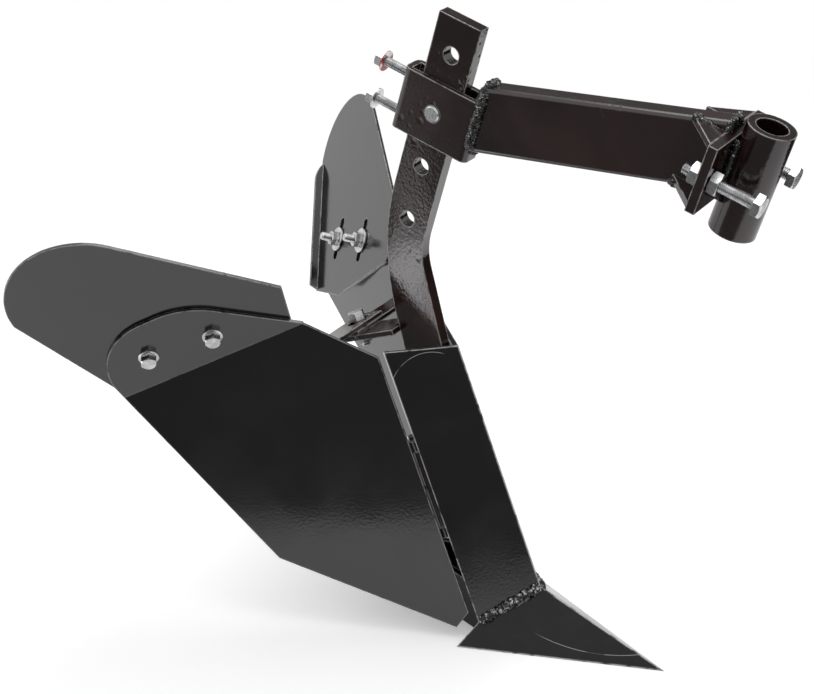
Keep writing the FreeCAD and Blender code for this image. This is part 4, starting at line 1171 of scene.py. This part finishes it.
@dataclass
class FastenerMaker:
    """Turns each measured CAD fastener into a threaded, chamfered one of the same length.

    Pitch and depth are in bolt diameters, a flange's rise and spread in radii of the head's flats.
    """

    growers: Growers
    finishes: Finishes
    pitch_share: float = 0.152
    depth_share: float = 0.10
    flange_edge: float = 0.0009
    flange_rise: float = 0.30
    flange_spread: float = 1.38
    pin_edge: float = 0.16
    washer_edge: float = 0.18

    def make(self, node: str, axis: Vector, kind: Kind, body: Body) -> Object:
        """Replace one CAD fastener.

        Args:
            node: the node's name.
            axis: unit vector along it, either way.
            kind: what it is.
            body: the body it rides on.

        Returns:
            The finished piece.
        """
        found = Turned.measure(node, axis)
        work = bmesh.new()
        stations = found.stations
        if kind is Kind.PIN:
            self._pin(work, stations)
        elif kind is Kind.NUT:
            hexagon(work, 0.0, stations[-1].level, stations[-1].radius, True, self._bore_of(found))
        elif kind is Kind.WASHERED_NUT:
            self._washered_nut(work, stations, self._bore_of(found))
        else:
            self._head(work, stations, kind)
            self._thread(work, stations)
        smooth_but_sharp(work)
        work.transform(found.matrix)
        mesh = bpy.data.meshes.new(f"{node}_detail")
        work.to_mesh(mesh)
        work.free()
        mesh.materials.append(self.finishes.for_node(node))
        return add_piece(f"{node}_detail", mesh, body, (node,))

    @staticmethod
    def _bore_of(found: Turned) -> float:
        """Radius of a nut's bore: the nearest that the CAD nut comes to its axis."""
        arms = [corner - found.foot for corner in corners_of(found.node)]
        return min((arm - found.axis * arm.dot(found.axis)).length for arm in arms)

    def _pin(self, work: BMesh, stations: tuple[Station, ...]) -> None:
        """A plain pin with turned ends.

        Args:
            work: the mesh that it is added to.
            stations: the pin's measured levels.
        """
        radius, length = stations[0].radius, stations[-1].level
        edge = radius * self.pin_edge
        profile = [(0.0, 0.0), (radius - edge, 0.0), (radius, edge), (radius, length - edge)]
        revolve(work, profile + [(radius - edge, length), (0.0, length)])

    def _head(self, work: BMesh, stations: tuple[Station, ...], kind: Kind) -> None:
        """The hexagon head, on a coned flange where it has one.

        Args:
            work: the mesh that it is added to.
            stations: the bolt's measured levels.
            kind: plain or flanged.
        """
        seat, top = stations[-2], stations[-1]
        if kind is Kind.PLAIN_BOLT:
            hexagon(work, seat.level, top.level, top.radius, False)
            return
        flat = top.radius * FLAT_SHARE
        rim = seat.level + flat * self.flange_rise
        reach = flat * self.flange_spread
        edge = seat.level + self.flange_edge
        revolve(work, [(0.0, seat.level), (reach, seat.level), (reach, edge), (flat, rim), (0.0, rim)])
        hexagon(work, edge, top.level, top.radius, False)

    def _washered_nut(self, work: BMesh, stations: tuple[Station, ...], bore: float) -> None:
        """A nut on its washer, which is at the head end.

        Args:
            work: the mesh that it is added to.
            stations: the measured levels of nut and washer.
            bore: radius of their bore.
        """
        top, meeting, seat = stations[0], stations[-2], stations[-1]
        edge = (seat.level - meeting.level) * self.washer_edge
        reach = seat.radius
        profile = [(bore, meeting.level), (reach - edge, meeting.level), (reach, meeting.level + edge)]
        profile += [(reach, seat.level - edge), (reach - edge, seat.level), (bore, seat.level)]
        revolve(work, profile, closed=True)
        hexagon(work, top.level, meeting.level, top.radius, True, bore)

    def _thread(self, work: BMesh, stations: tuple[Station, ...]) -> None:
        """The threaded shank, from the tail into the head.

        Args:
            work: the mesh that it is added to.
            stations: the bolt's measured levels.
        """
        radius = stations[0].radius
        length = stations[-2].level + self.flange_edge
        pitch = radius * 2 * self.pitch_share
        mesh = grow(
            "thread",
            bpy.data.meshes.new("thread_start"),
            self.growers.thread,
            Radius=radius,
            Length=length,
            Pitch=pitch,
            Depth=radius * 2 * self.depth_share,
            Rings=int(length / pitch * Growers.RINGS_PER_TURN) + 1,
            Material=self.finishes.zinc,
        )
        work.from_mesh(mesh)


@dataclass
class Fasteners:
    """Every bolt, nut and pin."""

    maker: FastenerMaker
    ways: Directions

    def build(self) -> None:
        """Replace each CAD fastener by its detailed twin."""
        ahead = self.ways.rake_ahead
        for node in ("upper_clamp_bolt", "lower_clamp_bolt"):
            self.maker.make(node, ahead, Kind.FLANGE_BOLT, Body.FRAME)
        self.maker.make("depth_pin", self.ways.across, Kind.PIN, Body.FRAME)
        self.maker.make("spread_bolt", self.ways.ridge_up, Kind.PLAIN_BOLT, Body.SPREAD_BOLT)
        self.maker.make("spread_nut", self.ways.ridge_up, Kind.NUT, Body.SPREAD_BOLT)
        for side in Side:
            self.maker.make(f"{side.word}_levelling_bolt", ahead, Kind.PLAIN_BOLT, Body.FRAME)
            for end in ("front", "rear"):
                self.maker.make(f"{side.word}_{end}_levelling_nut", ahead, Kind.NUT, Body.FRAME)
                through = self.ways.plane_of_flange(side)
                self.maker.make(f"{side.word}_{end}_wing_bolt", through, Kind.FLANGE_BOLT, side.wing_body)
                self.maker.make(f"{side.word}_{end}_wing_nut", through, Kind.WASHERED_NUT, side.wing_body)


@dataclass
class WeldSeam:
    """One run of weld."""

    name: str
    path: list[Vector]
    radius: float
    lumps: float
    body: Body = Body.FRAME
    closed: bool = False
    # Worn beads take the weld finish with more painted glints.
    worn: bool = False


@dataclass
class Welds:
    """The weld beads that join the plough's plates and tubes."""

    growers: Growers
    finishes: Finishes
    ways: Directions
    sleeve_radius: float = 0.0046
    plate_radius: float = 0.0026
    round_lumps: float = 0.0030
    cut_in_radii: float = 1.6
    tube_reach: float = 0.55
    tube_standoff: float = 0.0025
    tube_margin: float = 0.003
    share_start: float = 0.02
    share_end: float = 0.97
    bracket_setback: float = 0.001
    gusset_near: float = 0.001
    gusset_standoff: float = 0.0012
    arm_lift: float = 0.0004
    seams: list[WeldSeam] = field(default_factory=list)

    def build(self) -> None:
        """Lay every bead."""
        self._round_beam()
        self._along_tube()
        self._share_to_breast()
        self._bracket_to_shank()
        self._gussets()
        self._arms_to_wings()
        for number, seam in enumerate(self.seams):
            self._lay(seam, number)

    def _beam_corners(self, level: float) -> list[Vector]:
        """The beam's four long edges where they cross a plane square to the rake.

        Args:
            level: the plane's reach along the rake's forward direction.

        Returns:
            The four points, in order round the beam.
        """
        up = max(broad_normals("beam"), key=lambda normal: normal.z)
        half = extent("beam", self.ways.across)[1]
        low, high = extent("beam", up)
        ahead = self.ways.rake_ahead
        share = up.dot(ahead)
        points = []
        for reach, side in ((high, -half), (high, half), (low, half), (low, -half)):
            flat = (up * (reach - level * share) + ahead * (level - reach * share)) / (1 - share * share)
            points.append(Vector((flat.x, side, flat.z)))
        return points

    def _round_beam(self) -> None:
        """Beads round both ends of the beam."""
        at_sleeve = extent("clamp_sleeve", self.ways.rake_ahead)[1]
        at_plate = extent("hitch_plate", self.ways.rake_ahead)[0]
        ends = (("sleeve_weld", at_sleeve, self.sleeve_radius), ("plate_weld", at_plate, self.plate_radius))
        for name, level, radius in ends:
            path = self._cut_corners(self._beam_corners(level), radius * self.cut_in_radii)
            self.seams.append(WeldSeam(name, path, radius, self.round_lumps, closed=True))

    @staticmethod
    def _cut_corners(corners: list[Vector], cut: float) -> list[Vector]:
        """Two points for each corner of a closed path, so that a bead turns it gently.

        Args:
            corners: the corners, in order.
            cut: how far from each corner the two points lie.

        Returns:
            The points, in order.
        """
        path = []
        for index, corner in enumerate(corners):
            for other in (corners[index - 1], corners[(index + 1) % len(corners)]):
                path.append(corner + (other - corner).normalized() * cut)
        return path

    def _along_tube(self) -> None:
        """Beads up both sides of the pivot tube where it meets the cross plate."""
        ahead, up = self.ways.rake_ahead, self.ways.rake_up
        face = extent("hitch_plate", ahead)[1] + self.tube_standoff
        low, high = extent("hitch_plate", up)
        reach = extent("pivot_tube", self.ways.across)[1] * self.tube_reach
        for side in Side:
            out = self.ways.across * side.value * reach + ahead * face
            path = [out + up * (low + self.tube_margin), out + up * (high - self.tube_margin)]
            self.seams.append(WeldSeam(f"{side.word}_tube_weld", path, radius=0.0036, lumps=0.0012))

    def _share_to_breast(self) -> None:
        """The heavy beads over the seam between breast and share."""
        up = self.ways.ridge_up
        for side in Side:
            node = f"{side.word}_breast_plate"
            outward = max(broad_normals(node)[:2], key=lambda normal: normal.y * side.value)
            by_height = sorted(farthest_corners(node, outward), key=lambda corner: corner.dot(up))
            start, end = sorted(by_height[:2], key=lambda corner: abs(corner.y))
            path = [start + (end - start) * share for share in (self.share_start, self.share_end)]
            seam = WeldSeam(f"{side.word}_share_weld", path, radius=0.0052, lumps=0.0042, worn=True)
            self.seams.append(seam)

    def _bracket_to_shank(self) -> None:
        """The bead across the bracket's front end, behind the shank."""
        up, back = self.ways.ridge_up, self.ways.ridge_back
        top = extent("spread_bracket", up)[1]
        front = extent("spread_bracket", back)[0] + self.bracket_setback
        half = extent("shank", self.ways.across)[1]
        place = up * top + back * front
        path = [place + self.ways.across * side for side in (-half, half)]
        self.seams.append(WeldSeam("bracket_weld", path, radius=0.0028, lumps=0.0012))

    def _gussets(self) -> None:
        """Beads where each gusset meets the beam's side."""
        ahead = self.ways.rake_ahead
        near = extent("beam", self.ways.across)[1] + self.gusset_near
        for side in Side:
            out = self.ways.across * side.value * self.gusset_standoff
            for level in ("upper", "lower"):
                node = f"{side.word}_{level}_gusset"
                inner = [corner for corner in corners_of(node) if corner.y * side.value < near]
                rear = min(inner, key=lambda corner: corner.dot(ahead))
                front = max(inner, key=lambda corner: corner.dot(ahead))
                path = [rear + out, front + out]
                self.seams.append(WeldSeam(f"{node}_weld", path, radius=0.0036, lumps=0.0036))

    def _arms_to_wings(self) -> None:
        """Beads along the outer end of each arm, where it meets its wing."""
        lift = self.ways.ridge_up * self.arm_lift
        for side in Side:
            upper = farthest_corners(f"{side.word}_arm", self.ways.ridge_up)
            path = [corner + lift for corner in sorted(upper, key=lambda corner: abs(corner.y))[-2:]]
            name = f"{side.word}_arm_weld"
            self.seams.append(WeldSeam(name, path, radius=0.0020, lumps=0.0016, body=side.wing_body))

    def _lay(self, seam: WeldSeam, number: int) -> None:
        """Grow one bead.

        Args:
            seam: the run of weld.
            number: its place in the list, which seeds its lumps.
        """
        count = len(seam.path)
        edges = [(index, index + 1) for index in range(count - 1)]
        if seam.closed:
            edges.append((count - 1, 0))
        start = bpy.data.meshes.new(f"{seam.name}_path")
        start.from_pydata(seam.path, edges, [])
        mesh = grow(
            seam.name,
            start,
            self.growers.bead,
            Radius=seam.radius,
            Lumps=seam.lumps,
            Seed=float(number),
            Material=self.finishes.bright_weld if seam.worn else self.finishes.weld,
        )
        add_piece(seam.name, mesh, seam.body)


# ---- the studio


def background_rays(tree: Tree) -> Socket:
    """1 for the rays that show the background: the camera's, and those that metal and glass send on.

    Args:
        tree: the tree of the floor's material or of the world.

    Returns:
        The socket.
    """
    rays = tree.add("ShaderNodeLightPath").outputs
    seen = tree.math("MAXIMUM", rays["Is Camera Ray"], rays["Is Transmission Ray"])
    return tree.math("MAXIMUM", seen, rays["Is Glossy Ray"])


@dataclass(frozen=True)
class Lamp:
    """A square soft lamp that looks at the plough."""

    name: str
    place: Triple
    size: float
    power: float


@dataclass(frozen=True)
class Card:
    """A bent card, out of the camera's sight, that the gloss enamel reflects.

    Attributes:
        name: its name.
        foot: the points of the line that its lower edge follows.
        bends: steps from that line to each bend, from its lower edge to its upper one.
        bright: how bright it looks.
    """

    name: str
    foot: tuple[Triple, ...]
    bends: tuple[Triple, ...]
    bright: float = 0.17


@dataclass
class Studio:
    """Floor, soft lights, cards, world and camera."""

    LAMPS = (
        Lamp("overhead", (0.1, 0.42, 1.9), 1.5, 17.0),
        Lamp("left_side", (-1.6, -0.9, 1.2), 1.0, 7.0),
        Lamp("back", (-0.5, 1.7, 1.3), 1.2, 8.0),
    )
    LAMP_AIM = (0.0, 0.0, 0.25)
    FRONT_LEAN = ((0.0, 0.0), (0.10, 0.03), (0.22, 0.10), (0.34, 0.24), (0.42, 0.42), (0.46, 0.60))
    CARDS = (
        Card(
            "front_card",
            ((1.7, -0.50, 0.0), (-0.24, -0.50, 0.0), (-1.6, -1.95, 0.0)),
            tuple((0.0, -away, rise) for away, rise in FRONT_LEAN),
        ),
        Card("back_card", ((-1.65, 0.90, 0.0), (0.55, 1.60, 0.0)), ((0.0, 0.0, 0.50), (0.0, 0.0, 1.6))),
        Card("side_card", ((0.85, 0.36, 0.0), (0.28, 0.86, 0.0)), ((0.0, 0.0, 0.03), (0.0, 0.0, 0.42)), 0.03),
        Card(
            "glow_card",
            ((-0.20, -0.46, 0.003), (-0.30, -0.38, 0.003)),
            ((0.0, 0.0, 0.0), (-0.18, -0.25, 0.0)),
            bright=3.3,
        ),
    )
    CARD_TINT: Colour = (1.0, 0.97, 1.0, 1.0)
    PAPER: Colour = (0.88, 0.88, 0.88, 1.0)

    camera_place: Triple = (0.7145, -1.1737, 0.9623)
    camera_aim: Triple = (-0.482, 0.747, -0.4575)
    lens: float = 78.8
    floor_radius: float = 6.0
    floor_near: float = 0.55
    floor_far: float = 1.5
    floor_lift: float = 0.26
    fill: float = 0.55

    def build(self) -> None:
        """Set everything up."""
        self._floor()
        for card in self.CARDS:
            self._card(card)
        for lamp in self.LAMPS:
            self._lamp(lamp)
        self._world()
        self._camera()
        bpy.context.scene.view_settings.view_transform = "Standard"

    def _floor(self) -> None:
        """A pale floor that fades into the white background."""
        work = bmesh.new()
        bmesh.ops.create_circle(work, cap_ends=True, segments=96, radius=self.floor_radius)
        mesh = bpy.data.meshes.new("floor")
        work.to_mesh(mesh)
        work.free()
        floor = put_in_scene("floor", mesh)
        made, tree, shader = new_material("floor_paper")
        tree.feed(shader, Base_Color=self.PAPER, Roughness=0.9, Specular_IOR_Level=0.1)
        away = tree.vector("LENGTH", tree.place())["Value"]
        fade = tree.ramp(away, self.floor_near, self.floor_far)
        glow = tree.add("ShaderNodeEmission")
        tree.feed(glow, Strength=tree.times(background_rays(tree), self.floor_lift))
        lit = tree.feed(tree.add("ShaderNodeAddShader"), i0=shader.outputs[0], i1=glow.outputs[0])
        clear = tree.add("ShaderNodeBsdfTransparent")
        mixed = tree.add("ShaderNodeMixShader")
        tree.feed(mixed, i0=fade, i1=lit.outputs[0], i2=clear.outputs[0])
        tree.feed(tree.nodes.nodes["Material Output"], Surface=mixed.outputs[0])
        mesh.materials.append(made)

    def _card(self, card: Card) -> None:
        """Put up one card.

        Args:
            card: the card.
        """
        points = [Vector(place) + Vector(bend) for place in card.foot for bend in card.bends]
        rows = len(card.bends)
        starts = [column * rows + row for column in range(len(card.foot) - 1) for row in range(rows - 1)]
        faces = [(start, start + 1, start + rows + 1, start + rows) for start in starts]
        mesh = bpy.data.meshes.new(card.name)
        mesh.from_pydata(points, [], faces)
        placed = put_in_scene(card.name, mesh)
        placed.visible_camera = False
        placed.visible_diffuse = False
        placed.visible_shadow = False
        made, tree, shader = new_material(card.name)
        glow = tree.add("ShaderNodeEmission")
        tree.feed(glow, Color=self.CARD_TINT, Strength=card.bright)
        tree.feed(tree.nodes.nodes["Material Output"], Surface=glow.outputs[0])
        tree.nodes.nodes.remove(shader)
        mesh.materials.append(made)

    def _lamp(self, lamp: Lamp) -> None:
        """Hang one lamp.

        Args:
            lamp: the lamp.
        """
        data = bpy.data.lights.new(lamp.name, "AREA")
        data.shape = "SQUARE"
        data.size = lamp.size
        data.energy = lamp.power
        hung = put_in_scene(lamp.name, data)
        hung.location = lamp.place
        towards = Vector(self.LAMP_AIM) - Vector(lamp.place)
        hung.rotation_euler = towards.to_track_quat("-Z", "Y").to_euler()

    def _world(self) -> None:
        """White background for the camera and for reflections, soft fill for the rest."""
        world = bpy.data.worlds.new("studio")
        world.use_nodes = True
        tree = Tree(world.node_tree)
        tree.nodes.nodes.clear()
        fill = tree.add("ShaderNodeBackground")
        tree.feed(fill, Color=WHITE, Strength=self.fill)
        white = tree.add("ShaderNodeBackground")
        tree.feed(white, Color=WHITE, Strength=1.0)
        mixed = tree.add("ShaderNodeMixShader")
        tree.feed(mixed, i0=background_rays(tree), i1=fill.outputs[0], i2=white.outputs[0])
        tree.feed(tree.add("ShaderNodeOutputWorld"), Surface=mixed.outputs[0])
        bpy.context.scene.world = world

    def _camera(self) -> None:
        """The camera at the product's viewing angle."""
        data = bpy.data.cameras.new("camera")
        data.lens = self.lens
        data.sensor_width = 36.0
        camera = put_in_scene("camera", data)
        camera.location = self.camera_place
        camera.rotation_euler = Vector(self.camera_aim).to_track_quat("-Z", "Y").to_euler()
        bpy.context.scene.camera = camera


def dress_frame(finishes: Finishes) -> None:
    """Give every CAD node its finish.

    Args:
        finishes: the plough's finishes.
    """
    for node, item in frame["nodes"].items():
        for place in item.material_slots:
            place.link = "OBJECT"
            place.material = finishes.for_node(node)


def main() -> None:
    """Build the looks in order."""
    finishes = Finishes(Effects())
    growers = Growers()
    ways = Directions()
    dress_frame(finishes)
    Fasteners(FastenerMaker(growers, finishes), ways).build()
    Welds(growers, finishes, ways).build()
    Studio().build()


if __name__ == "__main__":
    main()
